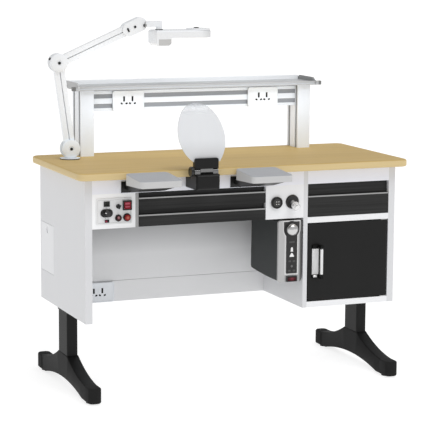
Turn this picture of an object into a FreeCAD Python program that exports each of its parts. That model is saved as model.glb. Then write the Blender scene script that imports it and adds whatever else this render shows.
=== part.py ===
"""Technician's workbench with over-shelf, lamp, suction shield and armrests.

Millimetres, +X to the user's right, +Y to the back, +Z up. The origin is on the
floor below the middle of the bench's outline. Every driving size is a cell of the
sheet, and each piece is an object of the document bound to those cells.
"""
import FreeCAD
import Part
import Sketcher
import math
import os
import re

Vector = FreeCAD.Vector

SIZES = {
    # shared allowances: run of fused pieces and cutters past a face, edge breaks, arc ends
    "bite": 1,
    "edge_break": 2,
    "end_fullness": 0.999,
    # work surface
    "top_overhang": 33,
    "top_depth": 550,
    "top_thick": 25,
    "top_height": 770,
    "top_shift": 55,
    "top_corner": 30,
    "top_round": 7,
    # carcass of painted boards
    "carcass_height": 480,
    "front_overhang": 43,
    "rear_overhang": 3,
    "side_board": 24,
    "board": 16,
    "floor_board": 20,
    "back_board": 10,
    "well_depth": 142,
    "seam_rise": 73,
    "seam_gap": 1,
    "band_height": 115,
    "apron_height": 50,
    "apron_thick": 18,
    "hatch_width": 150,
    "hatch_height": 172,
    "hatch_rise": 103,
    "hatch_thick": 5,
    "hatch_gap": 1,
    "hatch_margin": 6,
    "hatch_grip_radius": 11,
    "hatch_grip_deep": 3,
    # drawers, cabinet and door
    "control_width": 150,
    "control_depth": 120,
    "control_wall": 4,
    "case_board": 11,
    "drawer_width": 458,
    "service_width": 141,
    "drawer_room": 18,
    "cabinet_width": 350,
    "cabinet_room": 76,
    "front_thick": 18,
    "reveal": 1.5,
    "grip_height": 20,
    "cabinet_grip_height": 44,
    "grip_lip": 3,
    "grip_deep": 11,
    "grip_hook": 7,
    "strip_height": 3,
    "tray_wall": 4,
    "tray_lift": 5,
    "tray_drop": 12,
    "runner_space": 12.5,
    "runner_thick": 10,
    "runner_height": 22,
    "runner_channel": 11,
    "runner_web": 3,
    "runner_lift": 8,
    "runner_fit": 0.3,
    "door_gap": 3,
    "door_edge_round": 2,
    "pivot_inset": 6,
    "pivot_radius": 3,
    "pivot_reach": 9,
    "pivot_play": 1,
    "pivot_plate": 2.7,
    "pivot_plate_half": 9,
    "running_fit": 0.05,
    "handle_side": 41,
    "handle_rise": 160,
    "handle_length": 116,
    "handle_radius": 5,
    "handle_post_radius": 4.5,
    "handle_post_inset": 9,
    "handle_stand": 24,
    "handle_plate_side": 15,
    "handle_plate_width": 24,
    "handle_plate_thick": 3,
    "handle_plate_trim": 11,
    # legs
    "column_width": 38,
    "column_depth": 100,
    "column_wall": 3,
    "column_round": 6,
    "flange_width": 50,
    "flange_depth": 112,
    "flange_thick": 5,
    "foot_length": 600,
    "foot_width": 42,
    "foot_sole": 92,
    "foot_end": 55,
    "foot_crown": 115,
    "foot_arch": 26,
    "foot_hollow": 16,
    "foot_toe": 14,
    "foot_round": 3,
    "pad_height": 5,
    "pad_radius": 18,
    "pad_inset": 48,
    # over-shelf
    "upright_width": 47,
    "upright_depth": 95,
    "upright_set": 100,
    "upright_pitch": 827,
    "upright_shift": -10.5,
    "slot_width": 16,
    "slot_deep": 3.5,
    "slot_pitch": 58,
    "rail_height": 70,
    "rail_rise": 154,
    "rail_thick": 25,
    "rail_set": 25,
    "rail_groove": 15,
    "rail_groove_pitch": 34,
    "shelf_left": 39.5,
    "shelf_right": 30.5,
    "shelf_lead": 30,
    "shelf_depth": 157,
    "shelf_rise": 231,
    "shelf_rail_height": 14,
    "shelf_rail_thick": 12,
    "shelf_rail_bead": 2,
    "shelf_plate": 8,
    "shelf_sink": 3,
    "shelf_end_thick": 5,
    "shelf_end_in": 21,
    "shelf_rear_height": 26,
    "shelf_end_rise": 12,
    "shelf_end_slope": 22,
    "outlet_width": 116,
    "outlet_height": 70,
    "outlet_thick": 10,
    "outlet_corner": 6,
    "outlet_pitch": 514,
    "outlet_shift": -10,
    "low_outlet_in": 130,
    "low_outlet_rise": 36,
    "socket_pitch": 31,
    "pin_slot_width": 3.2,
    "pin_slot_height": 8,
    "pin_slot_deep": 3.5,
    "pin_slot_spread": 8,
    # swing-arm lamp
    "lamp_in": 97,
    "lamp_set": 147,
    "lamp_foot_radius": 35,
    "lamp_foot_thick": 4,
    "lamp_spigot_radius": 7,
    "lamp_spigot_height": 8,
    "turn_gap": 0.3,
    "hub_radius": 32,
    "cheek_thick": 6,
    "cheek_gap": 0.6,
    "neck_radius": 16,
    "arm_length": 298,
    "arm_lean": 8,
    "arm_rise": 23.5,
    "pivot_offset": 18,
    "bar_pitch": 19,
    "bar_height": 16,
    "bar_thick": 20,
    "lamp_pin_radius": 4,
    "wrist_half_height": 24,
    "wrist_reach": 22,
    "yoke_radius": 10,
    "yoke_length": 74,
    "yoke_boss_radius": 11,
    "yoke_boss_height": 21,
    "head_length": 214,
    "head_depth": 88,
    "head_thick": 26,
    "head_round": 8,
    "head_back": 24,
    "ballast_length": 54,
    "ballast_drop": 28,
    "ballast_chamfer": 9,
    "diffuser_margin": 6,
    "diffuser_depth": 68,
    "diffuser_thick": 3,
    # suction nozzle and shield
    "nozzle_side": -5,
    "nozzle_width": 83,
    "nozzle_proud": 59,
    "nozzle_height": 50,
    "nozzle_drop": 13,
    "nozzle_top_gap": 4,
    "nozzle_round": 9,
    "mouth_width": 62,
    "mouth_height": 30,
    "mouth_set": 12,
    "mouth_deep": 70,
    "barrel_radius": 9,
    "barrel_y": 27,
    "barrel_end": 19,
    "barrel_gap": 0.5,
    "barrel_pin_radius": 3,
    "cturn_gap": 1,
    "clamp_thick": 20,
    "clamp_height": 34,
    "clamp_round": 6,
    "clamp_grip": 13,
    "shield_thick": 3,
    "shield_foot_right": 49,
    "shield_foot_bow": 8.2,
    "shield_right_out": 67,
    "shield_right_rise": 82,
    "shield_right_bow": 8.6,
    "shield_brow_out": 17.6,
    "shield_brow_rise": 173,
    "shield_brow_bow": 4.9,
    "shield_crown_out": 35,
    "shield_crown_rise": 195.5,
    "shield_crown_bow": 9.7,
    "shield_cheek_out": 88,
    "shield_cheek_rise": 163.5,
    "shield_cheek_bow": 2.7,
    "shield_left_out": 99.6,
    "shield_left_rise": 111,
    "shield_left_bow": 15.5,
    "shield_foot_left": 43,
    "shield_knob_radius": 17,
    "shield_knob_length": 14,
    "shield_knob_neck": 8.4,
    "duct_width": 60,
    "duct_height": 28,
    "blower_radius": 58,
    "blower_length": 150,
    "blower_in": 157,
    # armrests
    "rest_side": 26,
    "rest_pitch": 388,
    "rest_width": 148,
    "rest_length": 151,
    "rest_gap": 4,
    "rest_drop": 3,
    "rest_fall": 10,
    "rest_rear_thick": 38,
    "rest_front_thick": 22,
    "rest_corner": 18,
    "rest_edge": 4,
    "slide_width": 110,
    "slide_drop": 21,
    "slide_thick": 16,
    "slide_tail": 60,
    "slide_nose": 28,
    "slide_keel": 4,
    "slide_bite": 3,
    "slide_fit": 0.5,
    "sleeve_wall": 4.5,
    "sleeve_length": 118,
    "bezel_width": 140,
    "bezel_lift": 2,
    "bezel_height": 37,
    "bezel_thick": 3,
    # control panel
    "plate_width": 124,
    "plate_height": 86,
    "plate_thick": 3,
    "plate_corner": 4,
    "rocker_x": 44.5,
    "rocker_z": 18,
    "rocker_width": 22,
    "rocker_height": 23.5,
    "rocker_frame": 3,
    "rocker_gap": 1.1,
    "rocker_deep": 7,
    "rocker_seat": 0.4,
    "rocker_heel": 5.5,
    "rocker_pivot": 4,
    "rocker_pin_radius": 1.2,
    "rocker_proud": 2,
    "rocker_dish": 1.5,
    "start_x": 44,
    "start_z": -22,
    "start_radius": 10,
    "stop_x": 14,
    "stop_z": -23,
    "stop_radius": 8,
    "button_fit": 0.3,
    "button_collar": 3,
    "button_proud": 6,
    "button_travel": 3,
    "cap_play": 0.5,
    "cap_edge": 1.5,
    "cap_dome": 2.5,
    "knob_x": -26.5,
    "knob_z": -5,
    "knob_base_width": 42,
    "knob_base_height": 27,
    "knob_radius": 11,
    "knob_length": 14,
    "dial_skirt": 1.5,
    "dial_skirt_height": 2,
    "pointer_x": 14,
    "pointer_z": 15.5,
    "pointer_width": 15,
    "pointer_thick": 9,
    "window_x": -26,
    "window_z": 25,
    "window_width": 20,
    "window_height": 17,
    "fitting_thick": 3,
    # service panel
    "pedal_in": 39,
    "pedal_rise": 57,
    "pedal_radius": 20,
    "pedal_proud": 8,
    "pedal_bore_radius": 14.4,
    "pedal_bore_deep": 3.5,
    "air_in": 98,
    "air_rise": 57.5,
    "air_radius": 24,
    "air_thick": 6,
    "air_bevel": 3,
    "air_slope": 20,
    "air_stem_radius": 8,
    "air_stem_length": 40,
    "air_sleeve_radius": 13.5,
    "air_sleeve_start": 18,
    "air_sleeve_length": 18,
    # handpiece drive unit
    "unit_side_gap": 7,
    "unit_width": 87,
    "unit_height": 213,
    "unit_gap": 7,
    "unit_length": 242,
    "unit_rear_drop": 10,
    "unit_belly": 3,
    "unit_corner": 10,
    "unit_shoulder": 4,
    "unit_set_back": 7,
    "hanger_margin": 50,
    "unit_bezel_thick": 10,
    "unit_bezel_round": 8,
    "unit_face_thick": 2.5,
    "unit_face_half": 20,
    "unit_face_head": 27,
    "unit_face_neck": 20,
    "unit_face_bow": 23,
    "unit_face_margin": 30,
    "unit_face_shift": 6,
    "dial_drop": 31,
    "dial_radius": 20,
    "dial_length": 18,
    "unit_button_rise": 55,
    "unit_button_radius": 4,
    "unit_button_sunk": 2,
    "unit_button_travel": 1.5,
    "unit_button_edge": 0.8,
    "unit_rocker_rise": 11.5,
    "unit_rocker_width": 30,
    "unit_rocker_height": 11,
}

# lengths and places that follow from the sizes
DERIVED = {
    "bay_width": "control_width + case_board + drawer_width + service_width",
    "carcass_width": "side_board + bay_width + cabinet_width",
    "carcass_depth": "top_depth - front_overhang - rear_overhang",
    "carcass_shift": "top_shift + (front_overhang - rear_overhang) / 2",
    "carcass_bottom": "top_height - top_thick - carcass_height",
    "top_length": "carcass_width + 2 * top_overhang",
    "top_rear": "top_shift + top_depth / 2",
    "knee_depth": "carcass_depth - back_board - well_depth - board",
    "knee_seam": "carcass_bottom + seam_rise",
    "band_bottom": "top_height - top_thick - apron_height - band_height",
    "hatch_low": "carcass_bottom + hatch_rise",
    "cabinet_side": "carcass_width / 2 - cabinet_width",
    "bay_middle": "-carcass_width / 2 + side_board + control_width + case_board + drawer_width / 2",
    "drawer_length": "knee_depth - front_thick - drawer_room",
    "cabinet_drawer_length": "carcass_depth - back_board - front_thick - cabinet_room",
    "handle_height": "carcass_bottom + handle_rise",
    "upright_front": "top_rear - upright_set",
    "rail_low": "top_height + rail_rise",
    "rail_front": "upright_front + rail_set",
    "shelf_length": "upright_pitch + upright_width + shelf_left + shelf_right",
    "shelf_shift": "upright_shift + (shelf_right - shelf_left) / 2",
    "shelf_front": "upright_front - shelf_lead",
    "shelf_low": "top_height + shelf_rise",
    "low_outlet_x": "-carcass_width / 2 + side_board + low_outlet_in",
    "low_outlet_z": "carcass_bottom + low_outlet_rise",
    "lamp_x": "-top_length / 2 + lamp_in",
    "lamp_y": "top_rear - lamp_set",
    "rest_middle": "bay_middle - rest_side",
    "rest_rear_top": "top_height - rest_drop",
    "slide_high": "top_height - top_thick - slide_drop",
    "slide_low": "slide_high - slide_thick",
    "bezel_low": "top_height - top_thick - apron_height + bezel_lift",
    "bezel_high": "bezel_low + bezel_height",
    "nozzle_x": "rest_middle - nozzle_side",
    "nozzle_reach": "front_overhang + nozzle_proud",
    "nozzle_high": "top_height - nozzle_drop",
    "nozzle_low": "nozzle_high - nozzle_height",
    "blower_x": "cabinet_side - blower_in",
    "pedal_x": "cabinet_side - service_width + pedal_in",
    "pedal_z": "band_bottom + pedal_rise",
    "air_x": "cabinet_side - service_width + air_in",
    "air_z": "band_bottom + air_rise",
    "unit_left": "cabinet_side - unit_side_gap - unit_width",
    "unit_high": "band_bottom - unit_gap",
    "unit_low": "unit_high - unit_height",
    "dial_z": "unit_high - dial_drop",
    "unit_button_z": "unit_low + unit_button_rise",
    "unit_rocker_z": "unit_low + unit_rocker_rise",
}

# faces that several pieces share, as expressions of the sizes
FRONT = "(carcass_shift - carcass_depth / 2)"
REAR = "(carcass_shift + carcass_depth / 2)"
LEFT = "(-carcass_width / 2)"
RIGHT = "(carcass_width / 2)"
INNER_LEFT = f"({LEFT} + side_board)"
INNER_RIGHT = f"({RIGHT} - side_board)"
UNDER_TOP = "(top_height - top_thick)"
APRON_LOW = f"({UNDER_TOP} - apron_height)"
KNEE = f"({FRONT} + knee_depth)"
TOP_FRONT = "(top_shift - top_depth / 2)"
CASE_LEFT = f"({INNER_LEFT} + control_width)"
BAY_LEFT = f"({CASE_LEFT} + case_board)"
BAY_RIGHT = f"({BAY_LEFT} + drawer_width)"
CABINET_LEFT = f"({RIGHT} - cabinet_width)"
CABINET_INNER = f"({CABINET_LEFT} + board)"
SHELF_UNDER = "(shelf_low + shelf_rail_height - shelf_sink - shelf_plate)"
NOZZLE_FRONT = f"({FRONT} - nozzle_reach)"
BARREL_Y = f"({NOZZLE_FRONT} + barrel_y)"
BARREL_Z = "(nozzle_high + barrel_radius)"
PLATE_FACE = f"({FRONT} - plate_thick)"
PLATE_X = f"({INNER_LEFT} + control_width / 2)"
PLATE_Z = f"((band_bottom + {APRON_LOW}) / 2)"
UNIT_X = "(unit_left + unit_width / 2 + unit_face_shift)"
UNIT_FRONT = f"({FRONT} - unit_bezel_thick + unit_set_back)"
UNIT_FACE = f"({UNIT_FRONT} - unit_face_thick)"
HUB_Z = "(top_height + lamp_foot_thick + turn_gap + hub_radius)"
ELBOW_X = "(lamp_x - arm_length * sin(arm_lean))"
ELBOW_Z = f"({HUB_Z} + arm_length * cos(arm_lean))"
WRIST_X = f"({ELBOW_X} + arm_length * cos(arm_rise))"
WRIST_Z = f"({ELBOW_Z} + arm_length * sin(arm_rise))"
TILT_X = f"({WRIST_X} + wrist_reach * cos(arm_rise))"
TILT_Z = f"({WRIST_Z} + wrist_reach * sin(arm_rise))"
HEAD_PIN_X = f"({TILT_X} + yoke_length)"
HEAD_TOP = f"({TILT_Z} - yoke_boss_height)"

TURN = {
    "x": FreeCAD.Rotation(Vector(0, 1, 0), 90),
    "y": FreeCAD.Rotation(Vector(1, 0, 0), -90),
    "-y": FreeCAD.Rotation(Vector(1, 0, 0), 90),
    "z": FreeCAD.Rotation(),
}
PLANES = {"x": "YZ_Plane", "y": "XZ_Plane", "z": "XY_Plane"}

doc = FreeCAD.newDocument("Workbench")
sheet = doc.addObject("Spreadsheet::Sheet", "Sizes")
for row, (alias, value) in enumerate(SIZES.items(), 1):
    sheet.set(f"A{row}", str(value))
    sheet.setAlias(f"A{row}", alias)
doc.recompute()
nodes = []


def cell(text):
    """Write each size named in an expression as a reference to its cell.

    A length that follows from the sizes is written out as its own expression.
    """

    def swap(match):
        word = match[0]
        if word in DERIVED:
            return f"({cell(DERIVED[word])})"
        return f"Sizes.{word}" if word in SIZES else word

    return re.sub(r"[a-z][a-z_]*", swap, text)


def number(text):
    """Value of an expression of the sizes."""
    return float(sheet.evalExpression(cell(text)))


def node(piece, label):
    """Name a finished piece and list it for writing."""
    piece.Label = label
    nodes.append(piece)
    return piece


def place(piece, at, rotation=None):
    """Bind a piece's position to expressions, after an optional turn."""
    if rotation:
        piece.Placement = FreeCAD.Placement(Vector(), rotation)
    for letter, value in zip("xyz", at):
        piece.setExpression(f"Placement.Base.{letter}", cell(value))
    return piece


def box(name, xs, ys, zs):
    """Box between pairs of bounds along X, Y and Z."""
    solid = doc.addObject("Part::Box", name)
    for side, (low, high) in zip(("Length", "Width", "Height"), (xs, ys, zs)):
        solid.setExpression(side, cell(f"({high}) - ({low})"))
    return place(solid, (xs[0], ys[0], zs[0]))


def cylinder(name, axis, at, radius, length):
    """Cylinder that starts at a point and runs along an axis."""
    solid = doc.addObject("Part::Cylinder", name)
    solid.setExpression("Radius", cell(radius))
    solid.setExpression("Height", cell(length))
    return place(solid, at, TURN[axis])


def group(name, pieces):
    """Several separate solids kept as one piece."""
    bundle = doc.addObject("Part::Compound", name)
    bundle.Links = pieces
    return bundle


def fuse(name, *pieces):
    """One solid from pieces that run into each other."""
    solid = doc.addObject("Part::MultiFuse", name)
    solid.Shapes = list(pieces)
    solid.Refine = True
    return solid


def cut(name, base, *tools):
    """A piece with tools taken out of it, one after the other."""
    for index, tool in enumerate(tools):
        step = doc.addObject("Part::Cut", f"{name}_{index}")
        step.Base = base
        step.Tool = tool
        base = step
    return base


def outline(body, axis, name, corners):
    """Closed sketch square to an axis.

    Each corner is (u, v) or (u, v, rise): with a rise, the run to the next corner is
    an arc that swells out of the outline by that much, or into it if negative.
    """
    sketch = body.newObject("Sketcher::SketchObject", name)
    plane = next(f for f in body.Origin.OriginFeatures if f.Role == PLANES[axis])
    sketch.AttachmentSupport = [(plane, "")]
    sketch.MapMode = "FlatFace"
    points = [Vector(number(c[0]), number(c[1]), 0) for c in corners]
    ends = []
    for index, corner in enumerate(corners):
        start = points[index]
        stop = points[(index + 1) % len(points)]
        if len(corner) == 2:
            sketch.addGeometry(Part.LineSegment(start, stop), False)
            ends.append((1, 2))
            continue
        along = (stop - start).normalize()
        bulge = Vector(along.y, -along.x, 0) * number(corner[2])
        arc = Part.Arc(start, (start + stop) * 0.5 + bulge, stop).toShape().Curve
        turn = 1 if number(corner[2]) > 0 else -1
        first, last = (start, stop) if turn > 0 else (stop, start)
        arc = Part.ArcOfCircle(
            Part.Circle(arc.Center, Vector(0, 0, 1), arc.Radius),
            math.atan2(first.y - arc.Center.y, first.x - arc.Center.x),
            math.atan2(last.y - arc.Center.y, last.x - arc.Center.x),
        )
        sketch.addGeometry(arc, False)
        ends.append((1, 2) if turn > 0 else (2, 1))
    count = len(corners)
    for index in range(count):
        after = (index + 1) % count
        joint = Sketcher.Constraint("Coincident", index, ends[index][1], after, ends[after][0])
        sketch.addConstraint(joint)
    for index, corner in enumerate(corners):
        for kind, text, value in zip(("DistanceX", "DistanceY"), corner, points[index]):
            rule = Sketcher.Constraint(kind, -1, 1, index, ends[index][0], value)
            sketch.setExpression(f"Constraints[{sketch.addConstraint(rule)}]", cell(text))
        if len(corner) == 3:
            after = corners[(index + 1) % count]
            chord = f"((({after[0]}) - ({corner[0]}))^2 + (({after[1]}) - ({corner[1]}))^2)"
            radius = f"abs({chord} / (8 * ({corner[2]})) + ({corner[2]}) / 2)"
            rule = Sketcher.Constraint("Radius", index, number(radius))
            sketch.setExpression(f"Constraints[{sketch.addConstraint(rule)}]", cell(radius))
    return sketch


def prism(name, axis, corners, low, high):
    """Body padded from an outline, between two bounds along an axis."""
    body = doc.addObject("PartDesign::Body", name)
    sketch = outline(body, axis, f"{name}_outline", corners)
    start = f"-({high})" if axis == "y" else low
    sketch.setExpression("AttachmentOffset.Base.z", cell(start))
    pad = body.newObject("PartDesign::Pad", f"{name}_pad")
    pad.Profile = sketch
    pad.setExpression("Length", cell(f"({high}) - ({low})"))
    return body


def turned(name, corners, axis, at):
    """Body turned about an axis through a point, from a half section (radius, height)."""
    body = doc.addObject("PartDesign::Body", name)
    sketch = outline(body, "y", f"{name}_section", corners)
    turn = body.newObject("PartDesign::Revolution", f"{name}_turn")
    turn.Profile = sketch
    turn.ReferenceAxis = (sketch, ["V_Axis"])
    turn.Angle = 360
    return place(body, at, TURN[axis])


def rectangle(us, vs):
    """Corners of a rectangle between two pairs of bounds."""
    return [(us[0], vs[0]), (us[1], vs[0]), (us[1], vs[1]), (us[0], vs[1])]


def rounded(body, radius, choose):
    """Round the edges of a body that a test picks out."""
    doc.recompute()
    base = body.Tip
    edges = [f"Edge{i}" for i, edge in enumerate(base.Shape.Edges, 1) if choose(edge)]
    fillet = body.newObject("PartDesign::Fillet", f"{body.Name}_round")
    fillet.Base = (base, edges)
    fillet.setExpression("Radius", cell(radius))
    return body


def along(axis):
    """Test for straight edges along an axis."""
    unit = {"x": Vector(1, 0, 0), "y": Vector(0, 1, 0), "z": Vector(0, 0, 1)}[axis]

    def test(edge):
        if edge.Curve.TypeId != "Part::GeomLine":
            return False
        return abs(abs(edge.tangentAt(edge.FirstParameter) * unit) - 1) < 1e-6

    return test


def level(axis, *heights):
    """Test for edges that lie flat at given places along an axis."""
    values = [number(height) for height in heights]
    low, high = {"x": ("XMin", "XMax"), "y": ("YMin", "YMax"), "z": ("ZMin", "ZMax")}[axis]

    def test(edge):
        bounds = edge.BoundBox
        return any(
            abs(getattr(bounds, low) - v) < 0.01 and abs(getattr(bounds, high) - v) < 0.01
            for v in values
        )

    return test


def make_top():
    """Post-formed tabletop with rounded corners and edges."""
    xs = ("-top_length / 2", "top_length / 2")
    ys = (TOP_FRONT, "top_rear")
    top = prism("top", "z", rectangle(xs, ys), UNDER_TOP, "top_height")
    rounded(top, "top_corner", along("z"))
    rounded(top, "top_round", level("z", UNDER_TOP, "top_height"))
    node(top, "tabletop")


def make_carcass():
    """Painted boards: sides, knee panels, back, floors and front aprons."""
    zs = ("carcass_bottom", UNDER_TOP)
    back_face = f"{REAR} - back_board"
    hatch_y = (f"{REAR} - hatch_margin - hatch_width", f"{REAR} - hatch_margin")
    hatch_z = ("hatch_low", "hatch_low + hatch_height")
    side = box("side_blank", (LEFT, INNER_LEFT), (FRONT, REAR), zs)
    rebate = box("hatch_rebate", (LEFT, f"{LEFT} + hatch_thick"), hatch_y, hatch_z)
    node(cut("left_side", side, rebate), "left_side")

    inside_y = (f"{hatch_y[0]} + hatch_gap", f"{hatch_y[1]} - hatch_gap")
    inside_z = (f"{hatch_z[0]} + hatch_gap", f"{hatch_z[1]} - hatch_gap")
    cover = box("hatch_blank", (LEFT, f"{LEFT} + hatch_thick"), inside_y, inside_z)
    middle = f"({inside_y[0]} + {inside_y[1]}) / 2"
    grip_at = (LEFT, middle, f"{inside_z[1]} - 2 * hatch_grip_radius")
    grip = cylinder("hatch_grip", "x", grip_at, "hatch_grip_radius", "hatch_grip_deep")
    node(cut("hatch", cover, grip), "filter_hatch")

    knee_y = (KNEE, f"{KNEE} + board")
    knee_x = (INNER_LEFT, CABINET_LEFT)
    upper = box("knee_upper", knee_x, knee_y, ("knee_seam + seam_gap", UNDER_TOP))
    lower = box("knee_lower", knee_x, knee_y, ("carcass_bottom", "knee_seam"))
    node(group("knee", [upper, lower]), "knee_panels")
    node(box("back", (INNER_LEFT, INNER_RIGHT), (back_face, REAR), zs), "back_panel")

    floor_z = ("carcass_bottom", "carcass_bottom + floor_board")
    cabinet_x = (CABINET_INNER, INNER_RIGHT)
    well = box("well_floor", knee_x, (knee_y[1], back_face), floor_z)
    bottom = box("cabinet_floor", cabinet_x, (FRONT, back_face), floor_z)
    shelf_z = ("band_bottom - floor_board", "band_bottom")
    divider = box("cabinet_shelf", cabinet_x, (FRONT, back_face), shelf_z)
    node(group("floors", [well, bottom, divider]), "carcass_floors")

    inner = box("cabinet_inner", (CABINET_LEFT, CABINET_INNER), (FRONT, back_face), zs)
    outer = box("cabinet_outer", (INNER_RIGHT, RIGHT), (FRONT, REAR), zs)
    node(group("cabinet", [inner, outer]), "cabinet_sides")

    apron_y = (FRONT, f"{FRONT} + apron_thick")
    apron_z = (APRON_LOW, UNDER_TOP)
    apron = box("apron_blank", knee_x, apron_y, apron_z)
    holes = [
        box(f"sleeve_hole_{side}", sleeve_x(side, 1), apron_y, sleeve_z(1)) for side in (-1, 1)
    ]
    rail = box("cabinet_rail", cabinet_x, apron_y, apron_z)
    node(group("aprons", [cut("apron", apron, *holes), rail]), "front_apron")


def sleeve_x(side, walls):
    """Bounds across an armrest's sleeve, with or without its walls."""
    middle = f"(rest_middle + {side} * rest_pitch / 2)"
    half = f"(slide_width / 2 + slide_fit + {walls} * sleeve_wall)"
    return (f"{middle} - {half}", f"{middle} + {half}")


def sleeve_z(walls):
    """Bounds of an armrest's sleeve in height, with or without its walls."""
    rim = f"slide_fit + {walls} * sleeve_wall"
    return (f"slide_low - ({rim})", f"slide_high + {rim}")


def make_armrests():
    """Wedge pads on flat slides, which run in framed sleeves through the apron."""
    frames = []
    for side, label in ((-1, "left_armrest"), (1, "right_armrest")):
        middle = f"(rest_middle + {side} * rest_pitch / 2)"
        rear = f"({TOP_FRONT} - rest_gap)"
        front = f"({rear} - rest_length)"
        front_top = "(rest_rear_top - rest_fall)"
        wedge = [
            (front, f"{front_top} - rest_front_thick"),
            (rear, "rest_rear_top - rest_rear_thick"),
            (rear, "rest_rear_top"),
            (front, front_top),
        ]
        half = "rest_width / 2"
        pad = prism(f"{label}_pad", "x", wedge, f"{middle} - {half}", f"{middle} + {half}")
        rounded(pad, "rest_corner", along("z"))
        doc.recompute()
        tops = [face for face in pad.Tip.Shape.Faces if face.normalAt(0, 0).z > 0.9]
        rim = [edge for face in tops for edge in face.Edges]
        rounded(pad, "rest_edge", lambda edge: any(edge.isSame(other) for other in rim))
        sole = "rest_rear_top - rest_rear_thick"
        tongue = [
            (f"{front} + slide_nose", f"{front_top} - rest_front_thick - slide_keel"),
            (f"{rear} - slide_nose", "slide_low"),
            (f"{FRONT} + slide_tail + sleeve_length", "slide_low"),
            (f"{FRONT} + slide_tail + sleeve_length", "slide_high"),
            (rear, "slide_high"),
            (rear, f"{sole} + slide_bite"),
            (f"{front} + slide_nose", f"{front_top} - rest_front_thick + slide_bite"),
        ]
        half = "slide_width / 2"
        slide = prism(f"{label}_slide", "x", tongue, f"{middle} - {half}", f"{middle} + {half}")
        node(fuse(label, pad, slide), label)

        xs = (f"{middle} - bezel_width / 2", f"{middle} + bezel_width / 2")
        bezel_y = (f"{FRONT} - bezel_thick", FRONT)
        sleeve_y = (f"{FRONT} - bezel_thick", f"{FRONT} + sleeve_length")
        bezel = box(f"bezel_{side}", xs, bezel_y, ("bezel_low", "bezel_high"))
        sleeve = box(f"sleeve_{side}", sleeve_x(side, 1), sleeve_y, sleeve_z(1))
        bore = box(f"sleeve_bore_{side}", sleeve_x(side, 0), sleeve_y, sleeve_z(0))
        frames.append(cut(f"frame_{side}", fuse(f"frame_blank_{side}", bezel, sleeve), bore))
    node(group("frames", frames), "armrest_frames")


def drawer(label, xs, zs, length, grip):
    """A drawer and its runners: front with a hooked grip, grip strip and open tray.

    Returns the pair of fixed runners.
    """
    left = f"({xs[0]} + reveal)"
    right = f"({xs[1]} - reveal)"
    low = f"({zs[0]} + reveal / 2)"
    high = f"({zs[1]} - reveal / 2)"
    face_top = f"({high} - {grip})"
    lip = f"({FRONT} + grip_lip)"
    cove = f"({lip} + grip_deep)"
    inside = f"({FRONT} + front_thick)"
    section = [
        (FRONT, low),
        (inside, low),
        (inside, high),
        (cove, high),
        (cove, f"{face_top} - grip_hook", "-grip_deep / 4"),
        (lip, f"{face_top} - grip_hook"),
        (lip, face_top),
        (FRONT, face_top),
    ]
    front = prism(f"{label}_front", "x", section, left, right)
    strip_z = (face_top, f"{face_top} + strip_height")
    strip = box(f"{label}_strip", (left, right), (FRONT, lip), strip_z)

    tray_x = (f"{xs[0]} + runner_space", f"{xs[1]} - runner_space")
    tray_y = (inside, f"{inside} + {length}")
    tray_z = (f"{low} + tray_lift", f"{high} - tray_drop")
    blank = box(f"{label}_blank", tray_x, tray_y, tray_z)
    hollow = box(
        f"{label}_hollow",
        (f"{tray_x[0]} + tray_wall", f"{tray_x[1]} - tray_wall"),
        (f"{tray_y[0]} + tray_wall", f"{tray_y[1]} - tray_wall"),
        (f"{tray_z[0]} + tray_wall", tray_z[1]),
    )
    runner_low = f"({low} + tray_lift + runner_lift)"
    channel_low = f"({runner_low} + (runner_height - runner_channel) / 2)"
    tongue_z = (f"{channel_low} + runner_fit", f"{channel_low} + runner_channel - runner_fit")
    tongues = []
    runners = []
    for side, wall, tray_side in ((1, xs[0], tray_x[0]), (-1, xs[1], tray_x[1])):
        ends = [wall, f"{wall} + {side} * runner_thick"]
        deep = [f"{wall} + {side} * runner_web", f"{wall} + {side} * runner_thick"]
        tip = [f"{wall} + {side} * (runner_web + runner_fit)", tray_side]
        for bounds in (ends, deep, tip):
            bounds.sort(key=number)
        rail_z = (runner_low, f"{runner_low} + runner_height")
        rail = box(f"{label}_rail_{side}", ends, tray_y, rail_z)
        slot = box(
            f"{label}_slot_{side}", deep, tray_y, (channel_low, f"{channel_low} + runner_channel")
        )
        runners.append(cut(f"{label}_runner_{side}", rail, slot))
        tongues.append(box(f"{label}_tongue_{side}", tip, tray_y, tongue_z))
    tray = fuse(f"{label}_tray", cut(f"{label}_open", blank, hollow), *tongues)
    node(group(label, [front, strip, tray]), label)
    return runners


def make_drawers():
    """Two shallow drawers over the knees, one deep drawer in the cabinet, their runners."""
    middle = f"((band_bottom + {APRON_LOW}) / 2)"
    bay = (BAY_LEFT, BAY_RIGHT)
    cabinet = (CABINET_INNER, INNER_RIGHT)
    runners = drawer("upper_drawer", bay, (middle, APRON_LOW), "drawer_length", "grip_height")
    runners += drawer("lower_drawer", bay, ("band_bottom", middle), "drawer_length", "grip_height")
    runners += drawer(
        "cabinet_drawer",
        cabinet,
        ("band_bottom", APRON_LOW),
        "cabinet_drawer_length",
        "cabinet_grip_height",
    )
    node(group("runners", runners), "drawer_runners")
    walls = [
        box("case_left", (CASE_LEFT, BAY_LEFT), (FRONT, KNEE), ("band_bottom", APRON_LOW)),
        box(
            "case_right",
            (BAY_RIGHT, f"{BAY_RIGHT} + case_board"),
            (f"{FRONT} + apron_thick", KNEE),
            ("band_bottom", APRON_LOW),
        ),
    ]
    node(group("case_walls", walls), "drawer_case_sides")


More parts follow.
